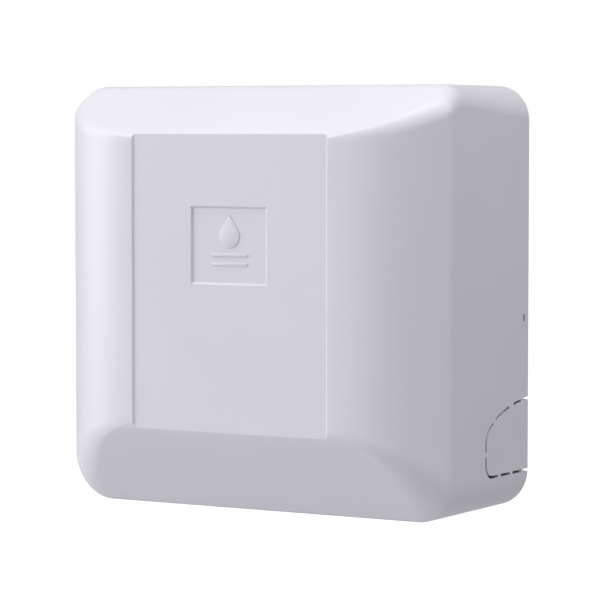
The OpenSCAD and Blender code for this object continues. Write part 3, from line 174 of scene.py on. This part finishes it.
def metal(name, shade, scale, rough, streak_mm=0.25, stretch=(1, 1, 1), depth_mm=0.002, **inputs):
    """A bare or plated metal. Tiny streaks, drawn out by stretch, vary its shade, gloss and height."""
    material = blank(name)
    place = put(material, "ShaderNodeTexCoord").outputs["Object"]
    turned = put(material, "ShaderNodeMapping", inputs={"Vector": place, "Scale": stretch})
    streak = put(material, "ShaderNodeTexNoise", inputs={
        "Vector": turned.outputs["Vector"], "Scale": 1000 / streak_mm, "Detail": 3.0, "Roughness": 0.6})
    tone = put(material, "ShaderNodeMix", {"data_type": "RGBA"}, {
        0: streak.outputs["Fac"], 6: linear(shade), 7: linear(scale)})
    gloss = put(material, "ShaderNodeMapRange", inputs={
        "Value": streak.outputs["Fac"], "To Min": rough - 0.07, "To Max": rough + 0.07})
    skin = put(material, "ShaderNodeBump", inputs={
        "Strength": 1.0, "Distance": depth_mm / 1000, "Height": streak.outputs["Fac"]})
    return surface(material, Base_Color=tone.outputs[2], Metallic=1.0, Roughness=gloss.outputs["Result"],
                   Normal=skin.outputs["Normal"], **inputs)


# Steel screws, bright zinc plate: small crystals give it a fine mottle
zinc_steel = metal("zinc_plated_steel", "B9BBBE", "A4A7AC", 0.3, streak_mm=0.6)
dress(zinc_steel, "tank_screws", "deck_screws", "motor_screws", "fitting_screws", "box_screws", "lid_screws",
      "board_screws", "terminal_screws")

# Pump deck: the tank's lid, moulded in dark grey polypropylene.
# It carries the pump, the check valve and the two float switches.

# Polypropylene, moulded: dark grey, half matt
deck_pp = moulded("deck_polypropylene", "33373C", "3B3F45", 0.5, IOR=1.49)
softened("pump_deck", "deck_plate", deck_pp, 0.5)

# Pump: a casing in the tank with a screwed cover, and an impeller on the motor's shaft inside it.
# The casing is moulded in white acetal, and the impeller and the fan in black nylon.

# Acetal, moulded: off-white and a little waxy
casing_acetal = moulded("casing_acetal", "D9D9D3", "E2E2DC", 0.4, IOR=1.48)
softened("pump_casing", "pump_volute", casing_acetal, 0.5)
dress(casing_acetal, "casing_cover")
# Nylon with glass fibre, moulded: black, with a fibrous grain
impeller_nylon = moulded("impeller_nylon", "1B1B1D", "26262A", 0.55, grain_mm=0.3, depth_mm=0.01, IOR=1.53)
dress(impeller_nylon, "impeller", "cooling_fan")

# Motor: a can and a cap of drawn steel round a core of steel sheets, with coils of enamelled wire.
# Its shaft turns in two porous bearings, and it stands on a bracket over the deck.

# Steel, drawn and zinc plated: blue-grey, softly mottled
can_steel = metal("motor_can_steel", "9DA1A6", "8D9197", 0.38, streak_mm=1.2)
dress(can_steel, "motor_can", "motor_end_cap", "motor_bracket")
# Steel bar, ground: bright, with streaks round it
shaft_steel = metal("shaft_steel", "C2C4C8", "AEB1B6", 0.2, streak_mm=0.2, stretch=(1, 1, 12))
dress(shaft_steel, "motor_shaft")
# Silicon steel sheets, stacked: dull and dark, with streaks along each sheet
lamination_steel = metal("lamination_steel", "4A4C50", "3C3E42", 0.5, streak_mm=0.5, stretch=(0.2, 0.2, 1))
dress(lamination_steel, "stator_core", "rotor_core")
# Copper wire under clear enamel
coil_copper = metal("enamelled_copper", "B4632E", "8E4A20", 0.3, streak_mm=0.5, stretch=(0.2, 0.2, 1),
                    Coat_Weight=0.6)
dress(coil_copper, "stator_coils")
# Bronze powder, sintered: dull, with fine pores
bearing_bronze = metal("sintered_bronze", "A98A55", "8B6E40", 0.5, streak_mm=0.2)
dress(bearing_bronze, "lower_bearing", "upper_bearing")

# Check valve, hose and outlet: a smoke-clear body with a ball that lifts off its seat.
# An elbow with a soft hose leads on to the outlet, which a bracket holds to the base.

# Clear plastic, moulded: smoke blue, glossy
valve_clear = moulded("valve_clear", "A9BFCB", "B4C8D2", 0.16, depth_mm=0.001, IOR=1.57,
                      Transmission_Weight=0.85)
dress(valve_clear, "check_valve_body", "check_valve_elbow")
dress(casing_acetal, "check_valve_ball")


rim_radius = 0.25 * mm


def strand(corners, steps):
    """A smooth line in metres through points given in mm, as in the CAD but in finer steps."""
    ends = [corners[0]] + corners + [corners[-1]]
    quads = [[Vector(p) * mm for p in ends[k:k + 4]] for k in range(len(corners) - 1)]
    line = [(2 * b + (c - a) * u + (2 * a - 5 * b + 4 * c - d) * u ** 2
             + (3 * b - a - 3 * c + d) * u ** 3) / 2
            for a, b, c, d in quads for u in (k / steps for k in range(steps))]
    return line + [Vector(corners[-1]) * mm]


def tube(line, radii_mm, sides):
    """A round mesh along a line, with soft rims. One radius makes a rod, and one more, for a bore, a hose."""
    bm = bmesh.new()
    ways = [(line[min(k + 1, len(line) - 1)] - line[max(k - 1, 0)]).normalized() for k in range(len(line))]
    across = ways[0].orthogonal().normalized()
    rings = []
    for place, way in zip(line, ways):
        across = (across - way * across.dot(way)).normalized()
        over = way.cross(across)
        turns = [(math.cos(2 * math.pi * k / sides), math.sin(2 * math.pi * k / sides)) for k in range(sides)]
        rings.append([[bm.verts.new(place + r * mm * (across * c + over * s)) for c, s in turns]
                      for r in radii_mm])
    for level in range(len(radii_mm)):
        for lower, upper in zip(rings, rings[1:]):
            for k in range(sides):
                after = (k + 1) % sides
                bm.faces.new((lower[level][k], lower[level][after],
                              upper[level][after], upper[level][k]))
    for end in (rings[0], rings[-1]):
        if len(radii_mm) == 1:
            bm.faces.new(end[0])
        else:
            for k in range(sides):
                after = (k + 1) % sides
                bm.faces.new((end[0][k], end[0][after], end[1][after], end[1][k]))
    bmesh.ops.recalc_face_normals(bm, faces=bm.faces)
    rims = [e for e in bm.edges if e.calc_face_angle() > math.radians(60)]
    round_off(bm, rims, rim_radius)
    return bm


def laid(name, bm, material, node):
    """Makes a hose or lead of its mesh, in place of its CAD solid."""
    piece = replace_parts(settle(bm, name, material, "housing", sharp_degrees=50), node)
    return piece


# Soft vinyl, extruded: smoke-clear with a green cast, glossy
hose_vinyl = moulded("hose_vinyl", "B2C7BC", "BED1C6", 0.22, depth_mm=0.002, IOR=1.53,
                     Transmission_Weight=0.55)
hose_low, hose_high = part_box("discharge_hose")
hose_r, hose_bore_r, hose_bend_r = 6.5, 4.5, 16
bend_r = hose_bend_r * mm
hose_start = Vector((hose_low[0], (hose_low[1] + hose_high[1]) / 2, hose_low[2] + hose_r * mm))
hose_top = Vector((hose_high[0] - hose_r * mm, hose_start.y, hose_high[2]))
elbow_middle = Vector((hose_top.x - bend_r, hose_start.y, hose_start.z + bend_r))
straight_steps, hose_sides, lead_sides, lead_steps = 6, 40, 20, 12
bend_start = elbow_middle - Vector((0, 0, bend_r))
hose_line = [hose_start.lerp(bend_start, k / straight_steps) for k in range(straight_steps)]
hose_line += [elbow_middle + bend_r * Vector((math.sin(math.radians(q)), 0, -math.cos(math.radians(q))))
              for q in range(0, 91, 5)]
hose_line += [hose_line[-1].lerp(hose_top, k / straight_steps) for k in range(1, straight_steps + 1)]
laid("drain_hose", tube(hose_line, (hose_r, hose_bore_r), hose_sides), hose_vinyl,
     "discharge_hose")
dress(zinc_steel, "hose_clips")
# ABS, injection moulded: light grey
fitting_abs = moulded("fitting_abs", "D2D2D0", "DADAD8", 0.42, IOR=1.54)
softened("outlet_joint", "outlet_spout", fitting_abs, 0.4)
softened("inlet_joint", "inlet_spout", fitting_abs, 0.4)
softened("inlet_nut", "inlet_ring", fitting_abs, 0.4)
dress(fitting_abs, "outlet_bracket")

# Floats: blocks of closed-cell foam on stems with a reed switch inside, and a clip at the foot of each.
# The orange one starts the pump and the red one gives the alarm.

# Foamed rubber with closed cells: orange, and red for the alarm, matt
foam_orange = moulded("level_foam", "E08A2A", "E8963A", 0.8, grain_mm=0.7, depth_mm=0.05, IOR=1.45)
dress(foam_orange, "level_float")
foam_red = moulded("alarm_foam", "C22E24", "CC3B2E", 0.8, grain_mm=0.7, depth_mm=0.05, IOR=1.45)
dress(foam_red, "alarm_float")
# Nylon, moulded: off-white
stem_nylon = moulded("stem_nylon", "DEDDD6", "E6E5DE", 0.4, IOR=1.53)
dress(stem_nylon, "level_switch_stem", "alarm_switch_stem", "level_float_clip", "alarm_float_clip",
      "cable_clamp", "board_connectors", "terminal_block")

# Control box: an ivory ABS case with a lid on four posts. The board with its parts stands on posts inside.
# A lamp and a test button show in the lid. The leads come in through grommets in the case's floor.

# ABS, injection moulded: ivory
box_abs = moulded("box_abs", "DEDACD", "E5E1D5", 0.45, IOR=1.54)
softened("control_box", "box_case", box_abs, 0.8)
softened("control_box_lid", "box_lid", box_abs, 0.8)
# Glass and epoxy board under green lacquer
board_epoxy = moulded("board_epoxy", "11542C", "176334", 0.3, IOR=1.55)
dress(board_epoxy, "circuit_board")
# Epoxy, moulded round the small parts: black
black_epoxy = moulded("black_epoxy", "18181A", "202023", 0.45, IOR=1.55)
dress(black_epoxy, "board_parts")
# Polyester, moulded: relay blue
relay_pbt = moulded("relay_pbt", "1E4E93", "2559A2", 0.4, IOR=1.55)
softened("relay", "relay_case", relay_pbt, 0.5)
softened("transformer", "transformer_core", lamination_steel, 0.3)
# Epoxy, cast: green and clear
led_epoxy = moulded("led_epoxy", "45C95A", "58D76B", 0.12, depth_mm=0.001, IOR=1.55, Transmission_Weight=0.6)
dress(led_epoxy, "status_led")
# ABS, injection moulded: red
button_abs = moulded("button_abs", "B92019", "C52A22", 0.3, IOR=1.54)
dress(button_abs, "test_button")
# Vinyl sheath, extruded: dark grey, half matt
lead_vinyl = moulded("lead_vinyl", "3A3B3E", "45464A", 0.42, depth_mm=0.003, IOR=1.53)
motor_route = [(-23.9, -57.1, -20.3), (-21.8, -59.2, -19.5), (-17, -60, -12), (-9, -52, 0), (-4, -36, 8),
               (-3.5, -27.2, 12.5), (-3.5, -27.2, 16.5), (-3.5, -27.2, 21.5), (-3.5, -27.8, 25),
               (-8, -33, 30), (-13, -34.5, 30), (-14, -32, 29.5), (-14, -26.9, 29.5)]
level_route = [(4.5, -44.5, -32.2), (4.5, -44.5, -28), (4.5, -46, -20), (6.5, -45, -6), (7.5, -34, 7),
               (7.5, -27.2, 12.5), (7.5, -27.2, 16.5), (7.5, -27.2, 21.5), (6.5, -28, 25),
               (0, -34, 27), (-12, -39, 30.5), (-21, -38, 30.5), (-22.4, -33, 29.5), (-22.4, -26.9, 29.5)]
alarm_route = [(28.5, -44.5, -32.2), (28.5, -44.5, -28), (28.5, -46, -20), (27, -44, -6), (20, -34, 7),
               (18.5, -27.2, 12.5), (18.5, -27.2, 16.5), (18.5, -27.2, 21.5), (17, -29.5, 24),
               (8, -36, 23.5), (-8, -38, 23), (-22, -38, 24), (-30.5, -36, 28),
               (-30.8, -32, 29.5), (-30.8, -26.9, 29.5)]
motor_lead_r, float_lead_r = 1.6, 1.2
for name, corners, radius_mm, node in (
        ("motor_cable", motor_route, motor_lead_r, "motor_lead"),
        ("level_cable", level_route, float_lead_r, "float_leads"),
        ("alarm_cable", alarm_route, float_lead_r, "float_leads")):
    line = strand(corners, lead_steps)
    laid(name, tube(line, (radius_mm,), lead_sides), lead_vinyl, node)

# Front cover: a white ABS shell that snaps on the base. Its sides curve back, its top and bottom slope back,
# and its corners are mitred softly. A panel with a badge place is let into the front.

half_w, half_h, body_d, wall_t = 95, 92.5, 97, 2.5
flat_w, side_curve_d = 99, 23
top_slope_h, top_slope_d = 21, 33
bottom_slope_h, bottom_slope_d = 37, 26.5
corner_top_r, corner_bottom_r, corner_front_r, corner_growth = 15, 17, 3, 0.6
edge_soft_h, edge_soft_d, crease_soft, slope_bulge = 1.6, 0.7, 1.8, 0.03
side_r = ((half_w - flat_w / 2) ** 2 + side_curve_d ** 2) / (2 * side_curve_d)
corner_steps = 24


def soft_lower(a, b):
    """The lower of two values, with the crease between them rounded."""
    near = max(crease_soft - abs(a - b), 0) / crease_soft
    return min(a, b) - near * near * crease_soft / 4


def slope_rise(t, h, d):
    """How far a sloping band has risen at a depth t behind the front. It is slightly crowned."""
    u = t / d
    return h * (u + 4 * slope_bulge * u * (1 - u)) - edge_soft_h * math.exp(-t / edge_soft_d)


def band(t, h, d, wall):
    """How far the top or bottom band has risen at a depth t, up to the flat behind it, drawn in by wall."""
    return soft_lower(h - wall, slope_rise(t, h, d) - wall * math.hypot(1, h / d))


def cover_ring(t, wall):
    """The cover's outline at a depth t behind its front, drawn in by wall."""
    r = side_r - wall
    curve = flat_w / 2 + math.sqrt(max(0, r * r - (side_r - min(t, side_r)) ** 2))
    w = soft_lower(half_w - wall, curve)
    top = half_h - top_slope_h + band(t, top_slope_h, top_slope_d, wall)
    bottom = -half_h + bottom_slope_h - band(t, bottom_slope_h, bottom_slope_d, wall)
    rt, rb = (max(1, corner_front_r + (full - corner_front_r) * grown - wall) for full, grown in (
        (corner_top_r, (t / body_d) ** corner_growth), (corner_bottom_r, min(1, t / bottom_slope_d))))
    corners = [(w - rt, top - rt, rt), (rt - w, top - rt, rt), (rb - w, bottom + rb, rb),
               (w - rb, bottom + rb, rb)]
    outline = []
    for quarter, (x, z, r) in enumerate(corners):
        for step in range(corner_steps + 1):
            a = math.radians(90 * (quarter + step / corner_steps))
            outline.append(Vector((x + r * math.cos(a), t - body_d, z + r * math.sin(a))) * mm)
    return outline


def run_back(bm, wall, depths):
    """A skin that runs back through the cover's outlines, from a closed front. Returns its rear edges."""
    ring = bmesh.ops.create_circle(bm, segments=4 * (corner_steps + 1), radius=mm)["verts"]
    for vert, place in zip(ring, cover_ring(depths[0], wall)):
        vert.co = place
    edges = list({e for v in ring for e in v.link_edges})
    bmesh.ops.contextual_create(bm, geom=edges)
    for t in depths[1:]:
        grown = bmesh.ops.extrude_edge_only(bm, edges=edges)["geom"]
        new = {v for v in grown if isinstance(v, bmesh.types.BMVert)}
        ring = [next(e.other_vert(v) for e in v.link_edges if e.other_vert(v) in new) for v in ring]
        for vert, place in zip(ring, cover_ring(t, wall)):
            vert.co = place
        edges = [e for e in grown if isinstance(e, bmesh.types.BMEdge) and all(v in new for v in e.verts)]
    return edges


# The rings stand close together where the cover bends: round the front curve, and at the creases behind it
front_turn, front_rings = 53, 56
front_depths = [side_r * (1 - math.cos(math.radians(front_turn * k / front_rings)))
                for k in range(front_rings + 1)]
rear_depths = [23.4, 23.8, 24.4, 24.9, 25.4, 25.9, 26.5, 27.1, 27.9, 28.9, 30, 31, 31.7, 32.3, 33, 33.7, 34.5,
               36, 39, 45, 55, 66, 78, 97]
least_step = 0.3
outer_depths = [t for t in front_depths if t < side_curve_d] + rear_depths
inner_depths = [wall_t] + [t for t in outer_depths[::2] if wall_t + least_step < t < body_d] + [body_d]
shell = bmesh.new()
outer_rear = run_back(shell, 0, outer_depths)
inner_rear = run_back(shell, wall_t, inner_depths)
bmesh.ops.bridge_loops(shell, edges=outer_rear + inner_rear)
bmesh.ops.recalc_face_normals(shell, faces=shell.faces)


def made(bm, name):
    """An object that holds the mesh: a body to cut, a cutter or the floor."""
    mesh = bpy.data.meshes.new(name)
    bm.to_mesh(mesh)
    bm.free()
    tool = bpy.data.objects.new(name, mesh)
    bpy.context.scene.collection.objects.link(tool)
    return tool


def cut(bm, cutters):
    """The mesh with the cutters taken out of it, one after the other."""
    body = made(bm, "cut_body")
    for cutter in cutters:
        change = body.modifiers.new("cut", "BOOLEAN")
        change.operation, change.solver, change.object = "DIFFERENCE", "EXACT", cutter
    bpy.context.view_layer.update()
    result = bmesh.new()
    result.from_object(body, bpy.context.evaluated_depsgraph_get())
    for used in [body, *cutters]:
        bpy.data.objects.remove(used)
    return result


clear_of = 1


def frustum(floor_w, floor_h, floor_d, z, side_slope):
    """A cutter whose floor lies at a depth behind the front. Its left and right sides slope out at 45
    degrees. So do the upper and lower ones where side_slope is 1, and where it is 0, they are level."""
    reach = floor_d + clear_of
    bm = bmesh.new()
    bmesh.ops.create_cube(bm, size=1)
    for v in bm.verts:
        at_front = v.co.y < 0
        v.co.x *= floor_w + (2 * reach if at_front else 0)
        v.co.z = v.co.z * (floor_h + (2 * reach * side_slope if at_front else 0)) + z
        v.co.y = -clear_of - body_d if at_front else floor_d - body_d
    bmesh.ops.scale(bm, verts=bm.verts, vec=(mm, mm, mm))
    return made(bm, "cutter")


panel_recess, panel_margin, badge_recess, badge_w, badge_h, badge_z = 0.8, 0.5, 0.9, 38.2, 33.6, 24
badge_floor = panel_recess + badge_recess
panel = frustum(flat_w - 2 * panel_margin - 2 * panel_recess, 2 * half_h, panel_recess, 0, 0)
badge = frustum(badge_w - 2 * badge_recess, badge_h - 2 * badge_recess, badge_floor, badge_z, 1)
shell = cut(shell, [panel, badge])
rim_angle, rim_reach = math.radians(28), 7
rims = [e for e in shell.edges if len(e.link_faces) == 2 and e.calc_face_angle() > rim_angle
        and all(v.co.y < (rim_reach - body_d) * mm for v in e.verts)]
round_off(shell, rims, rim_radius)

knockout_d, knockout_h, knockout_low, knockout_bottom_r = 41, 33, -76.5, 6
arch_d, arch_h, slit_w, bridge_w = 52, 17.5, 1.3, 3.4
slit_front, slit_low = slit_w / 2 - knockout_d, knockout_low + slit_w / 2
slit_high = knockout_low + knockout_h - slit_w / 2
corner_y, corner_z = slit_front + knockout_bottom_r, slit_low + knockout_bottom_r
arch_y = slit_front + arch_d
arch_end = math.acos(-arch_y / arch_d)
arch_z = slit_high - arch_h * math.sin(arch_end)


def arch_point(share):
    """A (y, z) point of the arch over the knock-out, from its front foot at 0 to the rear edge at 1."""
    angle = math.pi + (arch_end - math.pi) * share
    return Vector((arch_y + arch_d * math.cos(angle), arch_z + arch_h * math.sin(angle)))


def knockout_route():
    """The slit's middle line as (y, z) points, under 1 mm apart, from its lower to its upper rear end."""
    steps = 60
    route = [Vector((corner_y * k / steps, slit_low)) for k in range(steps)]
    route += [Vector((corner_y + knockout_bottom_r * math.cos(math.radians(270 - q)),
                      corner_z + knockout_bottom_r * math.sin(math.radians(270 - q))))
              for q in range(0, 90, 6)]
    route += [Vector((slit_front, corner_z + (arch_z - corner_z) * k / 15)) for k in range(15)]
    return route + [arch_point(k / steps) for k in range(steps + 1)]


cutter_depth, cutter_length = 4, 6


def dash(points, side):
    """A cutter right through the side wall, along some of the slit's points."""
    bm = bmesh.new()
    ways = []
    for place, after in zip(points, points[1:]):
        along = (after - place).normalized()
        ways.append(Vector((-along.y, along.x)) * slit_w / 2)
    ways.append(ways[-1])
    loop = [p + w for p, w in zip(points, ways)] + [p - w for p, w in reversed(list(zip(points, ways)))]
    face = bm.faces.new([bm.verts.new((side * (half_w - cutter_depth), p.x, p.y)) for p in loop])
    out = bmesh.ops.extrude_face_region(bm, geom=[face])["geom"]
    bmesh.ops.translate(bm, verts=[v for v in out if isinstance(v, bmesh.types.BMVert)],
                        vec=(side * cutter_length, 0, 0))
    bmesh.ops.recalc_face_normals(bm, faces=bm.faces)
    bmesh.ops.scale(bm, verts=bm.verts, vec=(mm, mm, mm))
    return made(bm, "cutter")


route = knockout_route()
lengths = [0]
for place, after in zip(route, route[1:]):
    lengths.append(lengths[-1] + (after - place).length)
low_bridge_shares, arch_bridge_shares = (0.175, 0.475, 0.8), (5 / 12, 9 / 12, 11 / 12)
bridge_places = [Vector((corner_y * share, slit_low)) for share in low_bridge_shares]
bridge_places += [Vector((slit_front, (corner_z + arch_z) / 2))]
bridge_places += [arch_point(share) for share in arch_bridge_shares]
bridges = [min(zip(route, lengths), key=lambda pair: (pair[0] - place).length)[1] for place in bridge_places]
half_gap = (bridge_w - slit_w) / 2
begins = [0] + [far + half_gap for far in bridges]
ends = [far - half_gap for far in bridges] + [lengths[-1]]
past_edge = 1
latch_w, latch_h, latch_y, latch_z = 1.8, 3.2, -4.3, -8.8
slits = []
for side in (-1, 1):
    for begin, end in zip(begins, ends):
        points = [p for p, far in zip(route, lengths) if begin <= far <= end]
        if begin == 0:
            points[0] = Vector((past_edge, points[0].y))
        if end == lengths[-1]:
            points[-1] = Vector((past_edge, points[-1].y))
        slits.append(dash(points, side))
    bm = bmesh.new()
    bmesh.ops.create_cube(bm, size=1)
    bmesh.ops.scale(bm, verts=bm.verts, vec=(cutter_length * mm, latch_w * mm, latch_h * mm))
    bmesh.ops.translate(bm, verts=bm.verts, vec=(side * (half_w - clear_of) * mm, latch_y * mm, latch_z * mm))
    slits.append(made(bm, "cutter"))
shell = cut(shell, slits)

# ABS, injection moulded on an eroded mould: satin white with a cool cast
cover_abs = moulded("cover_abs", "D8D6DD", "DDDBE1", 0.42, grain_mm=0.45, depth_mm=0.004, cloud_mm=45,
                    IOR=1.54)
front_cover = settle(shell, "cover_shell", cover_abs, "cover", sharp_degrees=25)
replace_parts(front_cover, "front_cover")

# Emblem: a drop over two bars, moulded with the cover.
# It stands a little proud of the badge's floor, and its root goes into the floor.

emblem_relief, emblem_root, emblem_edge_r = 0.4, 0.2, 0.15
bar_w, bar_t, bar_drops, bar_end_step = 17, 1.4, (4, 8), 15
drop_r, drop_tip, drop_rise, drop_steps = 5, 9, 4, 40
floor_y, drop_z = badge_floor - body_d, badge_z + drop_rise
lean = math.acos(drop_r / drop_tip)
around = [lean + (2 * math.pi - 2 * lean) * k / drop_steps for k in range(drop_steps + 1)]
shapes = [[(drop_r * math.sin(a), drop_z + drop_r * math.cos(a)) for a in around] + [(0, drop_z + drop_tip)]]
for bar_z in (badge_z - below for below in bar_drops):
    turns = [(side, math.radians(a)) for side, span in (
        (1, range(0, 181, bar_end_step)), (-1, range(180, -1, -bar_end_step))) for a in span]
    shapes.append([(side * (bar_w / 2 + bar_t / 2 * math.sin(a)), bar_z + bar_t / 2 * math.cos(a))
                   for side, a in turns])
emblem = bmesh.new()
for outline in shapes:
    foot = emblem.faces.new([emblem.verts.new((x, floor_y + emblem_root, z)) for x, z in outline])
    out = bmesh.ops.extrude_face_region(emblem, geom=[foot])["geom"]
    bmesh.ops.translate(emblem, verts=[v for v in out if isinstance(v, bmesh.types.BMVert)],
                        vec=(0, -emblem_relief - emblem_root, 0))
bmesh.ops.recalc_face_normals(emblem, faces=emblem.faces)
round_off(emblem, [e for e in emblem.edges if all(v.co.y < floor_y for v in e.verts)], emblem_edge_r)
bmesh.ops.scale(emblem, verts=emblem.verts, vec=(mm, mm, mm))
cover_emblem = settle(emblem, "cover_emblem", cover_abs, "cover", sharp_degrees=40)
cover_emblem.modifiers.clear()

# Studio: a white room with a pale floor below the part.
# A large soft lamp stands at the upper left, with weaker ones round it.


def lamp(name, place, target, size, watts):
    """A soft square lamp that looks at a point."""
    light = bpy.data.lights.new(name, "AREA")
    light.shape, light.size, light.energy = "SQUARE", size, watts
    holder = bpy.data.objects.new(name, light)
    holder.location = place
    holder.rotation_euler = (Vector(target) - Vector(place)).to_track_quat("-Z", "Y").to_euler()
    bpy.context.scene.collection.objects.link(holder)


middle = (0, -0.05, 0)
lamp("key", (-1.1, -1.3, 1.2), middle, 1.0, 22)
lamp("left", (-1.7, -0.6, 0.3), middle, 1.0, 12)
lamp("overhead", (0.2, -0.2, 1.7), middle, 0.9, 13)
lamp("fill", (1.5, -0.7, 0.9), middle, 1.0, 1.5)
lamp("side", (0.7, 0, 0.75), middle, 0.6, 4.8)
lamp("front", (0, -1.9, -0.1), middle, 1.0, 6.5)

world = bpy.data.worlds.new("studio")
world.use_nodes = True
world.node_tree.nodes.clear()
rays = put(world, "ShaderNodeLightPath")
seen = put(world, "ShaderNodeMath", {"operation": "MAXIMUM"}, {
    0: rays.outputs["Is Camera Ray"], 1: rays.outputs["Is Transmission Ray"]})
white = put(world, "ShaderNodeBackground", inputs={"Color": (1, 1, 1, 1), "Strength": 1.0})
air = put(world, "ShaderNodeBackground", inputs={"Color": linear("E9E9F2"), "Strength": 0.1})
both = put(world, "ShaderNodeMixShader", inputs={
    0: seen.outputs["Value"], 1: air.outputs["Background"], 2: white.outputs["Background"]})
put(world, "ShaderNodeOutputWorld", inputs={"Surface": both.outputs["Shader"]})
bpy.context.scene.world = world

# Floor: a pale matt paint. To the camera it glows towards white with the distance, and from below it is clear
floor_z, floor_half, near, far = -0.32, 6, 0.4, 1.6
floor_paint = blank("floor_paint")
rays = put(floor_paint, "ShaderNodeLightPath")
dull = put(floor_paint, "ShaderNodeBsdfDiffuse", inputs={"Color": linear("D0D0D4")})
away = put(floor_paint, "ShaderNodeVectorMath", {"operation": "LENGTH"}, {
    0: put(floor_paint, "ShaderNodeTexCoord").outputs["Object"]})
clear = put(floor_paint, "ShaderNodeMapRange", inputs={
    "Value": away.outputs["Value"], "From Min": near, "From Max": far, "To Min": 0.86, "To Max": 1.0})
glow = put(floor_paint, "ShaderNodeEmission", inputs={
    "Color": (1, 1, 1, 1), "Strength": clear.outputs["Result"]})
lit = put(floor_paint, "ShaderNodeAddShader", inputs={0: dull.outputs["BSDF"], 1: glow.outputs["Emission"]})
above = put(floor_paint, "ShaderNodeMixShader", inputs={
    0: rays.outputs["Is Camera Ray"], 1: dull.outputs["BSDF"], 2: lit.outputs["Shader"]})
through = put(floor_paint, "ShaderNodeBsdfTransparent")
seen = put(floor_paint, "ShaderNodeMixShader", inputs={
    0: put(floor_paint, "ShaderNodeNewGeometry").outputs["Backfacing"],
    1: above.outputs["Shader"], 2: through.outputs["BSDF"]})
put(floor_paint, "ShaderNodeOutputMaterial", inputs={"Surface": seen.outputs["Shader"]})
ground = bmesh.new()
bmesh.ops.create_grid(ground, x_segments=1, y_segments=1, size=floor_half)
bmesh.ops.translate(ground, verts=ground.verts, vec=(0, 0, floor_z))
floor = made(ground, "floor")
floor.data.materials.append(floor_paint)

# Camera: fitted to the outline of the part in the photograph
camera = bpy.data.cameras.new("camera")
camera.lens, camera.sensor_width = 176.39, 36
viewer = bpy.data.objects.new("camera", camera)
viewer.location = (0.66376, -1.15911, 0.07459)
looked_at = Vector((0.00816, -0.05, -0.00125))
viewer.rotation_euler = (looked_at - viewer.location).to_track_quat("-Z", "Y").to_euler()
bpy.context.scene.collection.objects.link(viewer)
bpy.context.scene.camera = viewer
bpy.context.scene.view_settings.view_transform = "Standard"
